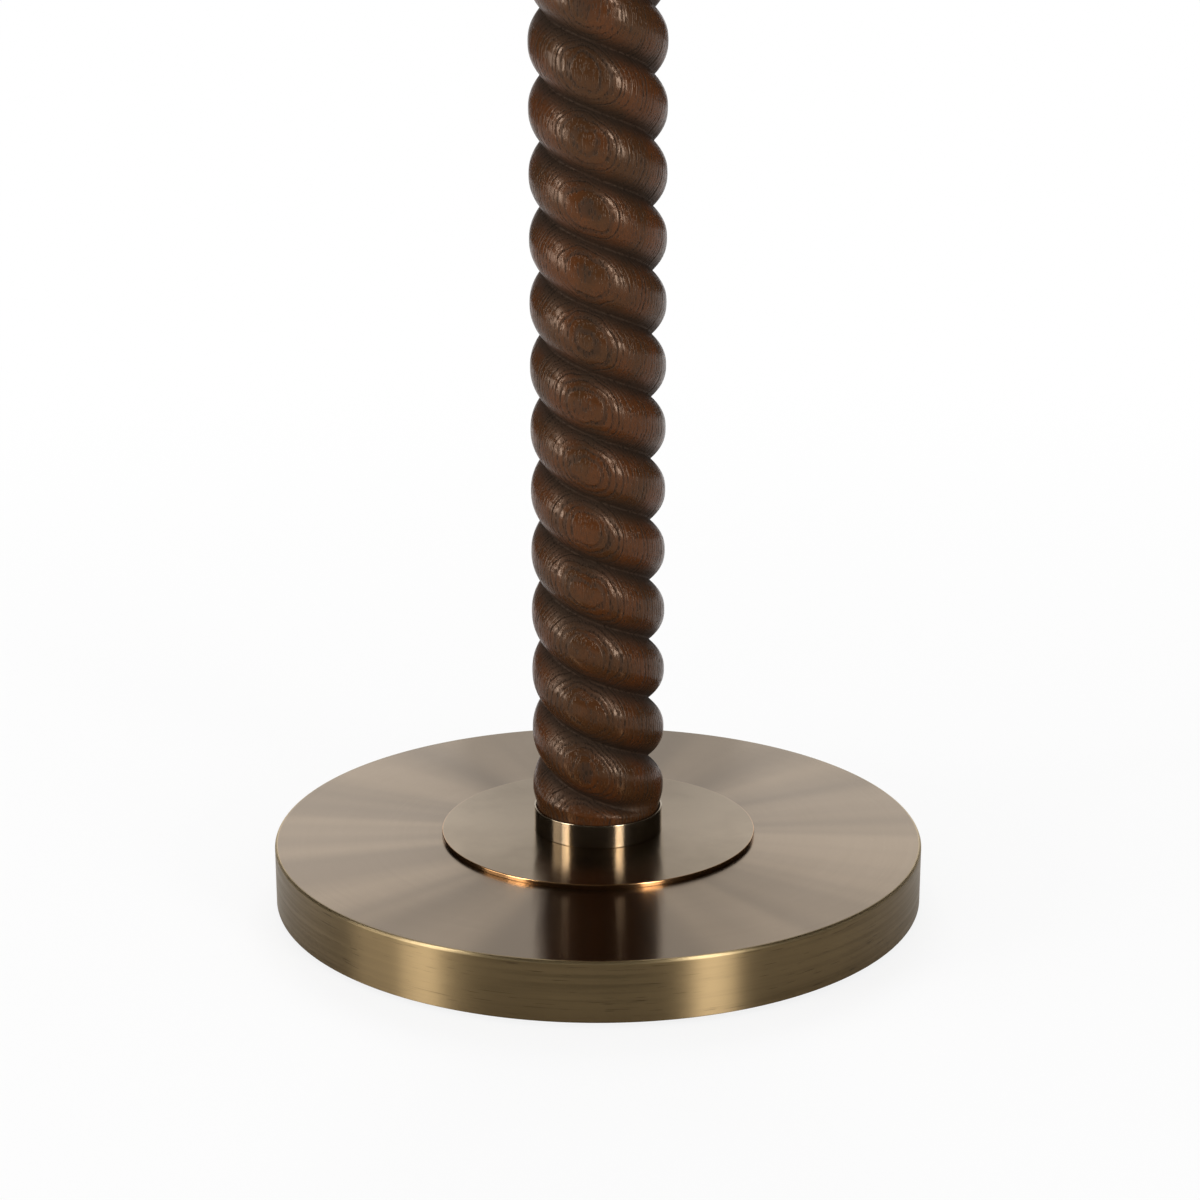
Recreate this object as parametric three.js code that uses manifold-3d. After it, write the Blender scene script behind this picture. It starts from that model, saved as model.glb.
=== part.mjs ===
// Floor lamp: a rope-turned wooden column on a round brass base, with a turn-knob lampholder,
// a wire harp and a tapered drum shade. Millimetres, +Z up. The origin is the centre of the floor
// pad's underside, and the front of the lamp faces -Y.
//
// The lamp is clamped together by one hollow threaded rod on the Z axis. The pieces of the stem are
// stacked on it, so most of them are turned about Z and share the heights listed under "Heights".

import * as THREE from 'three';
import { mergeVertices } from 'three/addons/utils/BufferGeometryUtils.js';
import Module from 'manifold-3d';

const wasm = await Module();
wasm.setup();

// Clearances
const slipGap = 0.4; // round a piece that drops into another
const moveGap = 0.3; // beside a face that slides or turns on another
const overrun = 1; // how far a cutting tool or a joined piece runs past the face that it meets

// Threaded rod and its fasteners
const rodRadius = 5;
const rodBore = 3.5;
const rodHoleGap = 0.5;
const nutAcrossFlats = 17;
const nutHeight = 6;
const springWasherWidth = 3.2;
const springWasherThickness = 2;
const springWasherSplit = 1.5;
const washerRadius = 14;
const washerThickness = 2;
const rodTail = 1.5; // rod below its nut

// Base
const padThickness = 2;
const padInset = 6;
const baseRadius = 140;
const baseHeight = 25.5;
const baseWall = 2;
const baseEdge = 1.2;
const coverThickness = 2;
const weightRecessRadius = 24;
const weightRecessDepth = 14;
const coverScrewCount = 3;
const coverScrewInset = 48; // from the base's edge to the middle of a cover screw
const coverScrewRadius = 2;
const coverScrewHead = 4;
const coverScrewLength = 12;

// Cord outlet in the rear of the base
const bushingRadius = 6;
const bushingBore = 4;
const bushingFlangeWidth = 2;
const bushingFlangeThickness = 1.5;
const bushingLength = 11;

// Foot plate and column
const plateRadius = 68;
const plateThickness = 2;
const plateEdge = 0.8;
const collarRadius = 27.8;
const collarWall = 1;
const collarFloor = 1.25;
const collarHeight = 10.3;
const columnLength = 1207;
const columnRadius = 28.2; // over the crests of the strands
const grooveDepth = 6.6;
const strandCount = 2;
const strandPitch = 26.24; // from one strand to the next, along the column
const grooveHeight = 9.5; // where the grooves' spiral crosses -X, above the floor
const strandFullness = 2.4; // power of the fall from crest to groove: higher is rounder
const shoulderLength = 3.5; // where the end spigot swells to the full strands

// Fittings over the column
const capRadius = 20;
const capRim = 2;
const capHeight = 5;
const capLand = 1; // flat beside the neck's foot
const neckWall = 2.5;
const neckBead = 1; // how far the bead under the harp saddle stands out
const neckBeadHeight = 2;
const neckFootWidth = 3;
const neckFootHeight = 3;
const neckTaper = 2;
const neckHeight = 24;
const lockNutWall = 4.5;
const lockNutHeight = 4;

// Lampholder, from the bulb's cap outwards
const threadGap = 0.9;
const screwShellSheet = 0.5;
const screwShellHeight = 24;
const insulatorRim = 1.4; // insulator beyond the screw shell
const insulatorLength = 18;
const linerThickness = 0.8;
const socketSheet = 0.7;
const socketBead = 0.7; // rolled bead at the shell's mouth
const socketBeadHeight = 2;
const socketNeckWall = 2.5;
const socketNeckHeight = 6;
const socketBowlHeight = 14;
const socketRimHeight = 8;
const socketShellHeight = 49;
const linerInset = 2; // liner's end below the shell's mouth
const wiringSpace = 2; // between the bowl and the insulator
const terminalHead = 3;
const terminalHeadThickness = 1.6;
const terminalShank = 1.5;
const terminalShankLength = 4;
const terminalFlatDepth = 3;
const terminalRise = 4;
const contactHoleRadius = 6;
const contactLength = 10;
const contactWidth = 4;
const contactSheet = 0.6;
const contactRise = 3;

// Switch knob
const spindleRadius = 2;
const spindleDepth = 9; // inside the insulator
const spindleHoleGap = 1.5;
const knobBoss = 5;
const knobBossLength = 5;
const knobLength = 16;
const knobHeight = 16;
const knobThickness = 4;

// Bulb
const bulbCapRadius = 13.2;
const bulbCapHeight = 22;
const bulbTipRadius = 4;
const bulbTipHeight = 3;
const bulbShoulder = 2; // round the foot of the bulb's cap
const bulbRadius = 30;
const bulbNeckInset = 0.8; // glass inside the cap's edge
const bulbNeckHeight = 8;
const bulbFlareHeight = 28; // from the cap up to where the neck is half way out to the globe
const bulbGlassHeight = 82;
const bulbGlassWall = 0.9;
const globeStart = -Math.PI / 9; // where the neck meets the globe, below its widest ring

// Harp
const harpHeight = 230; // from the saddle to the middle of the wire's top
const harpWire = 1.5;
const harpBulbSpace = 28; // from the globe to the middle of the wire
const harpSwell = 0.4; // share of the height, over the legs, at which the harp is widest
const harpTopFlat = 9; // half the straight stretch across the top
const harpShoulder = 28; // how far the wire runs level towards its shoulders
const saddleThickness = 1.6;
const saddleWidth = 8;
const saddlePadRim = 1.5; // saddle's pad beyond the lock nut
const prongSpace = 12; // from the lampholder to the prong
const prongWidth = 3.2;
const prongHeight = 13;
const ledgeRise = 10;
const ledgeLand = 3; // level ledge inside the prong
const ledgeOverhang = 1.2;
const sleeveLength = 12;
const sleeveWall = 1.1;
const sleeveLift = 1; // how far a raised sleeve clears its prong
const studBoss = 6.5;
const studBossHeight = 3.6; // above and below the wire
const studSeatRadius = 11;
const studSeatThickness = 1.4;
const studRadius = 3.1;
const studLength = 14;

// Shade
const shadeTopRadius = 190;
const shadeBottomRadius = 215;
const shadeHeight = 280;
const shadeSheet = 1;
const shadeRingWire = 1.8;
const shadeRecess = 14; // from the top ring down to the spider's washer
const trimWidth = 11;
const trimSheet = 0.6;
const spiderWasherRadius = 14;
const spiderWasherThickness = 1.6;
const spiderArmCount = 3;
const spiderArmRadius = 1.5;

// Finial
const finialFootWall = 4.5;
const finialFootHeight = 2.6;
const finialNeckWall = 1.5;
const finialNeckHeight = 8.7;
const finialTaper = 3;
const finialKnob = 9.5;
const finialKnobStart = -Math.PI / 3; // where the neck meets the knob, below its widest ring

// How finely curves are cut into flats
const baseSides = 40;
const collarSides = 32;
const stemSides = 16;
const screwSides = 10;
const shadeSides = 42;
const wireSides = 8;
const ringWireSides = 6;
const strandPoints = 6; // across one strand
const ringsPerStrand = 6;
const harpSteps = 48;
const edgeSteps = 2;
const bowlSteps = 3;
const globeSteps = 6;

// Heights
const weightBottom = padThickness + coverThickness;
const baseTop = padThickness + baseHeight;
const baseCeiling = baseTop - baseWall;
const recessTop = weightBottom + weightRecessDepth;
const washerBottom = recessTop - washerThickness;
const springWasherBottom = washerBottom - springWasherThickness;
const nutBottom = springWasherBottom - nutHeight;
const cordHeight = weightBottom + bushingRadius + slipGap;
const plateTop = baseTop + plateThickness;
const columnBottom = plateTop + collarFloor;
const columnTop = columnBottom + columnLength;
const capBottom = columnTop + collarFloor;
const capTop = capBottom + capHeight;
const neckTop = capTop + neckHeight;
const saddleTop = neckTop + saddleThickness;
const socketBottom = saddleTop + lockNutHeight;
const socketNeckTop = socketBottom + socketNeckHeight;
const bowlTop = socketBottom + socketBowlHeight;
const socketRim = bowlTop + socketRimHeight;
const socketShellBottom = bowlTop + socketSheet;
const socketTop = socketShellBottom + socketShellHeight;
const insulatorBottom = bowlTop + wiringSpace;
const insulatorTop = insulatorBottom + insulatorLength;
const knobAxisHeight = (insulatorBottom + insulatorTop) / 2;
const bulbBottom = insulatorTop + contactRise + moveGap;
const bulbCapBottom = bulbBottom + bulbTipHeight;
const bulbCapTop = bulbCapBottom + bulbCapHeight;
const terminalHeight = insulatorBottom + terminalRise;
const ledgeTop = saddleTop + ledgeRise;
const legBottom = ledgeTop + moveGap;
const sleeveTravel = prongHeight + sleeveLift;
const legTop = legBottom + sleeveLength + sleeveTravel + moveGap;
const harpTop = neckTop + harpHeight;
const studSeatTop = harpTop + studBossHeight + studSeatThickness;
const spiderBottom = studSeatTop + moveGap;
const spiderTop = spiderBottom + spiderWasherThickness;
const finialBottom = spiderTop + moveGap;
const shadeRingTopHeight = spiderTop + shadeRecess;
const shadeTop = shadeRingTopHeight + shadeRingWire;
const shadeBottom = shadeTop - shadeHeight;
const shadeRingBottomHeight = shadeBottom + shadeRingWire;

// Radii and places that several pieces share
const rodHole = rodRadius + rodHoleGap;
const spigotRadius = collarRadius - collarWall - slipGap;
const spigotLength = collarHeight - collarFloor + strandPitch / ringsPerStrand;
const bushingHole = bushingRadius + slipGap;
const baseInner = baseRadius - baseWall;
const coverRadius = baseInner - slipGap;
const neckRadius = rodHole + neckWall;
const neckFoot = neckRadius + neckFootWidth;
const socketNeck = rodHole + socketNeckWall;
const screwShellInner = bulbCapRadius + threadGap;
const screwShellOuter = screwShellInner + screwShellSheet;
const insulatorRadius = screwShellOuter + insulatorRim;
const linerInner = insulatorRadius + slipGap;
const linerOuter = linerInner + linerThickness;
const shellInner = linerOuter + slipGap;
const shellOuter = shellInner + socketSheet;
const socketInner = shellOuter + slipGap;
const socketRadius = socketInner + socketSheet;
const terminalFlat = insulatorRadius - terminalFlatDepth;
const spindleEnd = insulatorRadius - spindleDepth;
const knobStart = socketRadius + moveGap;
const bossEnd = knobStart + knobBossLength;
const knobEnd = knobStart + knobLength;
const lockNutRadius = rodHole + lockNutWall;
const saddlePad = lockNutRadius + saddlePadRim;
const prongInner = socketRadius + prongSpace;
const prongOuter = prongInner + saddleThickness;
const legOffset = prongOuter + moveGap + harpWire;
const sleeveHalfSpan = (legOffset + harpWire - prongInner) / 2;
const sleeveOffset = prongInner + sleeveHalfSpan;
const sleeveInner = Math.hypot(sleeveHalfSpan, prongWidth / 2) + moveGap;
const harpHalfWidth = bulbRadius + harpBulbSpace;
const studHole = studRadius + slipGap;
const finialFoot = studHole + finialFootWall;
const finialNeck = studHole + finialNeckWall;

// Materials
function paint(color, roughness, metalness) {
  return new THREE.MeshStandardMaterial({ color, roughness, metalness });
}

const satinBrass = paint(0x8f8064, 0.35, 1);
const brightBrass = paint(0x9c8250, 0.18, 1);
const stainedOak = paint(0x4a2f24, 0.55, 0);
const zincSteel = paint(0xa9abac, 0.4, 1);
const castIron = paint(0x3b3b3c, 0.7, 0.8);
const blackFelt = paint(0x232323, 0.95, 0);
const blackPlastic = paint(0x1b1a1a, 0.45, 0);
const greyBoard = paint(0x6d6a63, 0.9, 0);
const nickel = paint(0xc4c2bb, 0.25, 1);
const opalGlass = paint(0xf4f1ea, 0.3, 0);
const linen = paint(0xe9e1d0, 0.9, 0);

// Solid of a closed geometry, for cutting and joining.
function solidOf(geometry) {
  const bare = geometry.index ? geometry.toNonIndexed() : geometry;
  const points = new THREE.BufferGeometry().setAttribute('position', bare.getAttribute('position'));
  const merged = mergeVertices(points, 1e-4);
  const corners = merged.index.array;
  const kept = [];
  for (let i = 0; i < corners.length; i += 3) {
    const [a, b, c] = corners.slice(i, i + 3);
    if (a !== b && b !== c && c !== a) kept.push(a, b, c);
  }
  return new wasm.Manifold(
    new wasm.Mesh({
      numProp: 3,
      vertProperties: merged.attributes.position.array,
      triVerts: new Uint32Array(kept),
    }),
  );
}

// Geometry of a solid.
function geometryOf(solid) {
  const mesh = solid.getMesh();
  const geometry = new THREE.BufferGeometry();
  geometry.setAttribute('position', new THREE.BufferAttribute(mesh.vertProperties, 3));
  geometry.setIndex(new THREE.BufferAttribute(mesh.triVerts, 1));
  return geometry;
}

// The first geometry with all the others cut out of it.
function cut(geometry, ...tools) {
  return geometryOf(tools.reduce((solid, tool) => solid.subtract(solidOf(tool)), solidOf(geometry)));
}

// All the geometries joined into one.
function join(...geometries) {
  return geometryOf(geometries.map(solidOf).reduce((a, b) => a.add(b)));
}

// A body turned about Z from an outline of [radius, height] points. An outline that doesn't start
// and end on the axis is closed on itself.
function turned(outline, sides) {
  const points = outline.map(([radius, height]) => new THREE.Vector2(radius, height));
  if (THREE.ShapeUtils.area(points) < 0) points.reverse();
  if (outline[0][0] > 0 || outline.at(-1)[0] > 0) points.push(points[0].clone());
  return new THREE.LatheGeometry(points, sides).rotateX(Math.PI / 2);
}

// A round bar on Z.
function bar(radius, bottom, top, sides) {
  return new THREE.CylinderGeometry(radius, radius, top - bottom, sides)
    .rotateX(Math.PI / 2)
    .translate(0, 0, (bottom + top) / 2);
}

// A round bar along Y at a height.
function barAlongY(radius, start, end, height, sides) {
  const middle = (start + end) / 2;
  return new THREE.CylinderGeometry(radius, radius, end - start, sides).translate(0, middle, height);
}

function tube(outer, inner, bottom, top, sides) {
  return turned([[inner, bottom], [outer, bottom], [outer, top], [inner, top]], sides);
}

// A box between two corners.
function block(low, high) {
  const [width, depth, height] = low.map((value, i) => high[i] - value);
  const [x, y, z] = low.map((value, i) => (value + high[i]) / 2);
  return new THREE.BoxGeometry(width, depth, height).translate(x, y, z);
}

// Points along an ellipse about [radius, height], from one angle to another.
function arc(radius, height, wide, tall, from, to, steps) {
  return Array.from({ length: steps + 1 }, (_, i) => {
    const angle = from + ((to - from) * i) / steps;
    return [radius + wide * Math.cos(angle), height + tall * Math.sin(angle)];
  });
}

// A flat outline of [x, z] points, as thick as depth along Y.
function plateXZ(outline, depth) {
  const shape = new THREE.Shape(outline.map(([x, z]) => new THREE.Vector2(x, z)));
  return new THREE.ExtrudeGeometry(shape, { depth, bevelEnabled: false })
    .translate(0, 0, -depth / 2)
    .rotateX(Math.PI / 2);
}

function circle(radius, sides) {
  const points = arc(0, 0, radius, radius, 0, 2 * Math.PI, sides).slice(0, -1);
  return new THREE.Shape(points.map(([x, y]) => new THREE.Vector2(x, y)));
}

// Base

function floorPad() {
  return bar(baseRadius - padInset, 0, padThickness, baseSides);
}

function baseShell() {
  const shell = turned(
    [
      [baseRadius, padThickness],
      ...arc(baseRadius - baseEdge, baseTop - baseEdge, baseEdge, baseEdge, 0, Math.PI / 2, edgeSteps),
      [rodHole, baseTop],
      [rodHole, baseCeiling],
      [baseInner, baseCeiling],
      [baseInner, padThickness],
    ],
    baseSides,
  );
  const cordHole = barAlongY(bushingHole, baseInner - overrun, baseRadius + overrun, cordHeight, stemSides);
  return cut(shell, cordHole);
}

// The circle of cover screws starts at the front, clear of the cord's channel at the rear.
function coverScrewPlaces() {
  return Array.from({ length: coverScrewCount }, (_, i) => {
    const angle = -Math.PI / 2 + (i * 2 * Math.PI) / coverScrewCount;
    const circleRadius = baseRadius - coverScrewInset;
    return [circleRadius * Math.cos(angle), circleRadius * Math.sin(angle)];
  });
}

function atCoverScrews(geometry) {
  return coverScrewPlaces().map(([x, y]) => geometry.clone().translate(x, y, 0));
}

function baseWeight() {
  const weight = turned(
    [
      [rodHole, baseCeiling],
      [rodHole, recessTop],
      [weightRecessRadius, recessTop],
      [weightRecessRadius, weightBottom],
      [coverRadius, weightBottom],
      [coverRadius, baseCeiling],
    ],
    baseSides,
  );
  const channel = block(
    [-bushingHole, weightRecessRadius - 2 * overrun, weightBottom - overrun],
    [bushingHole, baseRadius, cordHeight + bushingHole],
  );
  const holeTop = weightBottom + coverScrewLength;
  const screwHole = bar(coverScrewRadius + slipGap, weightBottom - overrun, holeTop, screwSides);
  return cut(weight, channel, ...atCoverScrews(screwHole));
}

// Countersunk screw: the head's cone is as tall as the cover is thick.
function countersunk(extra, bottom, top) {
  return turned(
    [
      [0, bottom],
      [coverScrewHead + extra, bottom],
      [coverScrewRadius + extra, weightBottom],
      [coverScrewRadius + extra, top],
      [0, top],
    ],
    screwSides,
  );
}

function baseCover() {
  const cover = bar(coverRadius, padThickness, weightBottom, baseSides);
  const sink = countersunk(slipGap, padThickness, weightBottom + overrun);
  return cut(cover, ...atCoverScrews(sink));
}

function coverScrew() {
  return countersunk(0, padThickness, weightBottom + coverScrewLength - overrun);
}

// Snap bushing along Y: its barrel starts at the origin and its flange lies outside the shell.
function cordBushing() {
  const flange = bushingRadius + bushingFlangeWidth;
  const end = bushingLength + bushingFlangeThickness;
  return turned(
    [
      [bushingBore, 0],
      [bushingRadius, 0],
      [bushingRadius, bushingLength],
      [flange, bushingLength],
      [flange, end],
      [bushingBore, end],
    ],
    stemSides,
  ).rotateX(-Math.PI / 2);
}

// Rod and fasteners

function rodNut() {
  const hexagon = bar(nutAcrossFlats / Math.sqrt(3), nutBottom, springWasherBottom, 6);
  return cut(hexagon, bar(rodHole, nutBottom - overrun, springWasherBottom + overrun, stemSides));
}

function springWasher() {
  const outer = rodHole + springWasherWidth;
  const ring = tube(outer, rodHole, springWasherBottom, washerBottom, stemSides);
  const split = block(
    [0, -springWasherSplit / 2, springWasherBottom - overrun],
    [outer + overrun, springWasherSplit / 2, washerBottom + overrun],
  );
  return cut(ring, split);
}

// Foot plate and collars

function footPlate() {
  const edge = plateRadius - plateEdge;
  return turned(
    [
      [rodHole, baseTop],
      ...arc(edge, baseTop + plateEdge, plateEdge, plateEdge, -Math.PI / 2, 0, edgeSteps),
      ...arc(edge, plateTop - plateEdge, plateEdge, plateEdge, 0, Math.PI / 2, edgeSteps),
      [rodHole, plateTop],
    ],
    baseSides,
  );
}

// A thin cup that holds the column's end: its floor is at one height and its rim at another.
function collar(floor, rim) {
  const insideFloor = floor + Math.sign(rim - floor) * collarFloor;
  return turned(
    [
      [rodHole, floor],
      [collarRadius, floor],
      [collarRadius, rim],
      [collarRadius - collarWall, rim],
      [collarRadius - collarWall, insideFloor],
      [rodHole, insideFloor],
    ],
    collarSides,
  );
}

// Column

// Radius of the strands at a place across one strand: 0 on its crest, and -1 or 1 in a groove.
function strandRadius(place) {
  return columnRadius - grooveDepth * Math.abs(place) ** strandFullness;
}

// The column's largest radius at a height: a spigot inside each collar, then a soft shoulder.
function shoulderRadius(height) {
  const fromEnd = Math.min(height - columnBottom, columnTop - height);
  const swell = THREE.MathUtils.smoothstep(fromEnd, spigotLength, spigotLength + shoulderLength);
  return THREE.MathUtils.lerp(spigotRadius, columnRadius, swell);
}

// The strands wind down to the right across the front, as in a left-hand rope. Each ring of points
// is turned with the spiral, so each line of points keeps its place across a strand.
function ropeColumn() {
  const sectionPoints = strandCount * strandPoints;
  const ringCount = Math.round((columnLength / strandPitch) * ringsPerStrand);
  const positions = [];
  for (let ring = 0; ring <= ringCount; ring++) {
    const height = columnBottom + (columnLength * ring) / ringCount;
    const twist = Math.PI - ((height - grooveHeight) / strandPitch) * ((2 * Math.PI) / strandCount);
    for (let point = 0; point < sectionPoints; point++) {
      const place = (2 * (point % strandPoints)) / strandPoints - 1;
      const radius = Math.min(strandRadius(place), shoulderRadius(height));
      const angle = twist + (point * 2 * Math.PI) / sectionPoints;
      positions.push(radius * Math.cos(angle), radius * Math.sin(angle), height);
    }
  }
  const bottomCentre = positions.push(0, 0, columnBottom) / 3 - 1;
  const topCentre = positions.push(0, 0, columnTop) / 3 - 1;
  const faces = [];
  const vertex = (ring, point) => ring * sectionPoints + (point % sectionPoints);
  for (let point = 0; point < sectionPoints; point++) {
    for (let ring = 0; ring < ringCount; ring++) {
      const low = vertex(ring, point);
      const lowNext = vertex(ring, point + 1);
      const high = vertex(ring + 1, point);
      const highNext = vertex(ring + 1, point + 1);
      faces.push(low, lowNext, highNext, low, highNext, high);
    }
    faces.push(bottomCentre, vertex(0, point + 1), vertex(0, point));
    faces.push(topCentre, vertex(ringCount, point), vertex(ringCount, point + 1));
  }
  const column = new THREE.BufferGeometry();
  column.setAttribute('position', new THREE.Float32BufferAttribute(positions, 3));
  column.setIndex(faces);
  return cut(column, bar(rodHole, columnBottom - overrun, columnTop + overrun, stemSides));
}

// Fittings over the column

function topCap() {
  return turned(
    [
      [rodHole, capBottom],
      [capRadius, capBottom],
      [capRadius, capBottom + capRim],
      [neckFoot + capLand, capTop],
      [rodHole, capTop],
    ],
    stemSides,
  );
}

function neck() {
  const footTop = capTop + neckFootHeight;
  const beadBottom = neckTop - neckBeadHeight;
  return turned(
    [
      [rodHole, capTop],
      [neckFoot, capTop],
      [neckFoot, footTop],
      [neckRadius, footTop + neckTaper],
      [neckRadius, beadBottom - neckBead],
      [neckRadius + neckBead, beadBottom],
      [neckRadius + neckBead, neckTop],
      [rodHole, neckTop],
    ],
    stemSides,
  );
}

// Harp

// A bent strip with a pad round the rod, and at each end a ledge with a prong standing on it.
function harpSaddle() {
  const ledgeStart = prongInner - ledgeLand;
  const ledgeEnd = legOffset + harpWire + ledgeOverhang;
  const halfTop = [
    [saddlePad, saddleTop],
    [ledgeStart, ledgeTop],
    [ledgeEnd, ledgeTop],
  ];
  const halfBottom = halfTop.map(([x, z]) => [x, z - saddleThickness]);
  const half = [...halfBottom, ...halfTop.toReversed()];
  const mirrored = half.map(([x, z]) => [-x, z]).reverse();
  const strip = plateXZ([...half, ...mirrored], saddleWidth);
  const prong = block(
    [prongInner, -prongWidth / 2, ledgeTop - saddleThickness / 2],
    [prongOuter, prongWidth / 2, ledgeTop + prongHeight],
  );
  const otherProng = prong.clone().rotateZ(Math.PI);
  const pad = bar(saddlePad, neckTop, saddleTop, stemSides);
  const hole = bar(rodHole, neckTop - overrun, saddleTop + overrun, stemSides);
  return cut(join(pad, strip, prong, otherProng), hole);
}

// The harp's right half, from the foot of its leg to the middle of its top.
function harpHalf() {
  const widest = legTop + (harpTop - legTop) * harpSwell;
  const lowerReach = (widest - legTop) / 2;
  const upperReach = (harpTop - widest) * (1 - harpSwell);
  const point = (x, z) => new THREE.Vector3(x, 0, z);
  return [
    [point(legOffset, legBottom), point(legOffset, legTop)],
    [
      point(legOffset, legTop),
      point(legOffset, legTop + lowerReach),
      point(harpHalfWidth, widest - lowerReach),
      point(harpHalfWidth, widest),
    ],
    [
      point(harpHalfWidth, widest),
      point(harpHalfWidth, widest + upperReach),
      point(harpTopFlat + harpShoulder, harpTop),
      point(harpTopFlat, harpTop),
    ],
    [point(harpTopFlat, harpTop), point(0, harpTop)],
  ];
}

// The harp's wire: straight legs, a swell that clears the bulb, and a flat across the top.
function harp() {
  const right = harpHalf();
  const mirror = new THREE.Vector3(-1, 1, 1);
  const left = right.map((ends) => ends.map((end) => end.clone().multiply(mirror)));
  const path = new THREE.CurvePath();
  for (const ends of [...left, ...right.map((ends) => ends.toReversed()).reverse()]) {
    path.add(ends.length === 2 ? new THREE.LineCurve3(...ends) : new THREE.CubicBezierCurve3(...ends));
  }
  return new THREE.ExtrudeGeometry(circle(harpWire, wireSides), { steps: harpSteps, extrudePath: path });
}

function harpSleeve() {
  return tube(sleeveInner + sleeveWall, sleeveInner, legBottom, legBottom + sleeveLength, stemSides);
}

// The shade's seat and stud, on a boss that the wire runs through.
function harpStud() {
  const seatBottom = harpTop + studBossHeight;
  const stud = turned(
    [
      [0, harpTop - studBossHeight],
      [studBoss, harpTop - studBossHeight],
      [studBoss, seatBottom],
      [studSeatRadius, seatBottom],
      [studSeatRadius, studSeatTop],
      [studRadius, studSeatTop],
      [studRadius, studSeatTop + studLength],
      [0, studSeatTop + studLength],
    ],
    stemSides,
  );
  const wireHole = barAlongY(harpWire + slipGap, -studBoss - overrun, studBoss + overrun, harpTop, wireSides);
  return cut(stud, wireHole.rotateZ(Math.PI / 2));
}

// Lampholder

function socketCap() {
  const bowlHeight = bowlTop - socketNeckTop;
  const outside = arc(socketNeck, bowlTop, socketRadius - socketNeck, bowlHeight, -Math.PI / 2, 0, bowlSteps);
  const inside = outside.map(([radius, height]) => {
    const fall = (bowlTop - height) / bowlHeight;
    return [radius - socketSheet, height + fall * socketSheet];
  });
  return turned(
    [
      [rodHole, socketBottom],
      [socketNeck, socketBottom],
      ...outside,
      [socketRadius, socketRim],
      [socketInner, socketRim],
      ...inside.reverse(),
      [rodHole, socketNeckTop + socketSheet],
    ],
    stemSides,
  );
}

// The way for the switch spindle through the lampholder's walls, open to the front.
function spindleWay() {
  const radius = spindleRadius + spindleHoleGap;
  return barAlongY(radius, -knobStart, -insulatorRadius + overrun, knobAxisHeight, screwSides);
}

function socketShell() {
  const shell = turned(
    [
      [shellInner, socketShellBottom],
      [shellOuter, socketShellBottom],
      [shellOuter, socketTop - socketBeadHeight],
      [shellOuter + socketBead, socketTop - socketBeadHeight / 2],
      [shellOuter, socketTop],
      [shellInner, socketTop],
    ],
    stemSides,
  );
  return cut(shell, spindleWay());
}

function socketLiner() {
  return cut(tube(linerOuter, linerInner, insulatorBottom, socketTop - linerInset, stemSides), spindleWay());
}

function socketInsulator() {
  const body = bar(insulatorRadius, insulatorBottom, insulatorTop, stemSides);
  const flat = block(
    [terminalFlat, -insulatorRadius, insulatorBottom - overrun],
    [insulatorRadius + overrun, insulatorRadius, insulatorBottom + 2 * terminalRise],
  );
  const terminalHole = bar(
    terminalShank + slipGap,
    terminalFlat - terminalShankLength - slipGap,
    terminalFlat + overrun,
    screwSides,
  )
    .rotateY(Math.PI / 2)
    .translate(0, 0, terminalHeight);
  const sides = [flat, terminalHole].flatMap((tool) => [tool, tool.clone().rotateZ(Math.PI)]);
  const spindleHole = barAlongY(
    spindleRadius + slipGap,
    -insulatorRadius - overrun,
    -spindleEnd + slipGap,
    knobAxisHeight,
    screwSides,
  );
  return cut(body, ...sides, spindleHole);
}

// A terminal screw along X, at the origin's height, with its head standing off the right flat.
function terminalScrew() {
  const headStart = terminalFlat + moveGap;
  const headEnd = headStart + terminalHeadThickness;
  return turned(
    [
      [0, terminalFlat - terminalShankLength],
      [terminalShank, terminalFlat - terminalShankLength],
      [terminalShank, headStart],
      [terminalHead, headStart],
      [terminalHead, headEnd],
      [0, headEnd],
    ],
    screwSides,
  ).rotateY(Math.PI / 2);
}

function screwShell() {
  return turned(
    [
      [contactHoleRadius, insulatorTop],
      [screwShellOuter, insulatorTop],
      [screwShellOuter, insulatorTop + screwShellHeight],
      [screwShellInner, insulatorTop + screwShellHeight],
      [screwShellInner, insulatorTop + screwShellSheet],
      [contactHoleRadius, insulatorTop + screwShellSheet],
    ],
    stemSides,
  );
}

// A sprung strip bent up from the insulator to meet the bulb's tip.
function centreContact() {
  const half = contactLength / 2;
  const bend = half / 2;
  const underside = [
    [-half, insulatorTop],
    [0, insulatorTop],
    [bend, insulatorTop + contactRise - contactSheet],
    [half, insulatorTop + contactRise - contactSheet],
  ];
  const topside = underside.map(([x, z]) => [x, z + contactSheet]).reverse();
  return plateXZ([...underside, ...topside], contactWidth);
}

function switchSpindle() {
  return barAlongY(spindleRadius, -bossEnd, -spindleEnd, knobAxisHeight, screwSides);
}

function switchKnob() {
  const boss = barAlongY(knobBoss, -bossEnd - overrun, -knobStart, knobAxisHeight, stemSides);
  const grip = block(
    [-knobThickness / 2, -knobEnd, knobAxisHeight - knobHeight / 2],
    [knobThickness / 2, -bossEnd, knobAxisHeight + knobHeight / 2],
  );
  const holeRadius = spindleRadius + moveGap;
  const hole = barAlongY(holeRadius, -bossEnd - moveGap, -knobStart + overrun, knobAxisHeight, screwSides);
  return cut(join(boss, grip), hole);
}

// Bulb

function bulbCap() {
  return turned(
    [
      [0, bulbBottom],
      [bulbTipRadius, bulbBottom],
      [bulbCapRadius - bulbShoulder, bulbCapBottom],
      [bulbCapRadius, bulbCapBottom + bulbShoulder],
      [bulbCapRadius, bulbCapTop],
      [0, bulbCapTop],
    ],
    stemSides,
  );
}

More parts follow.
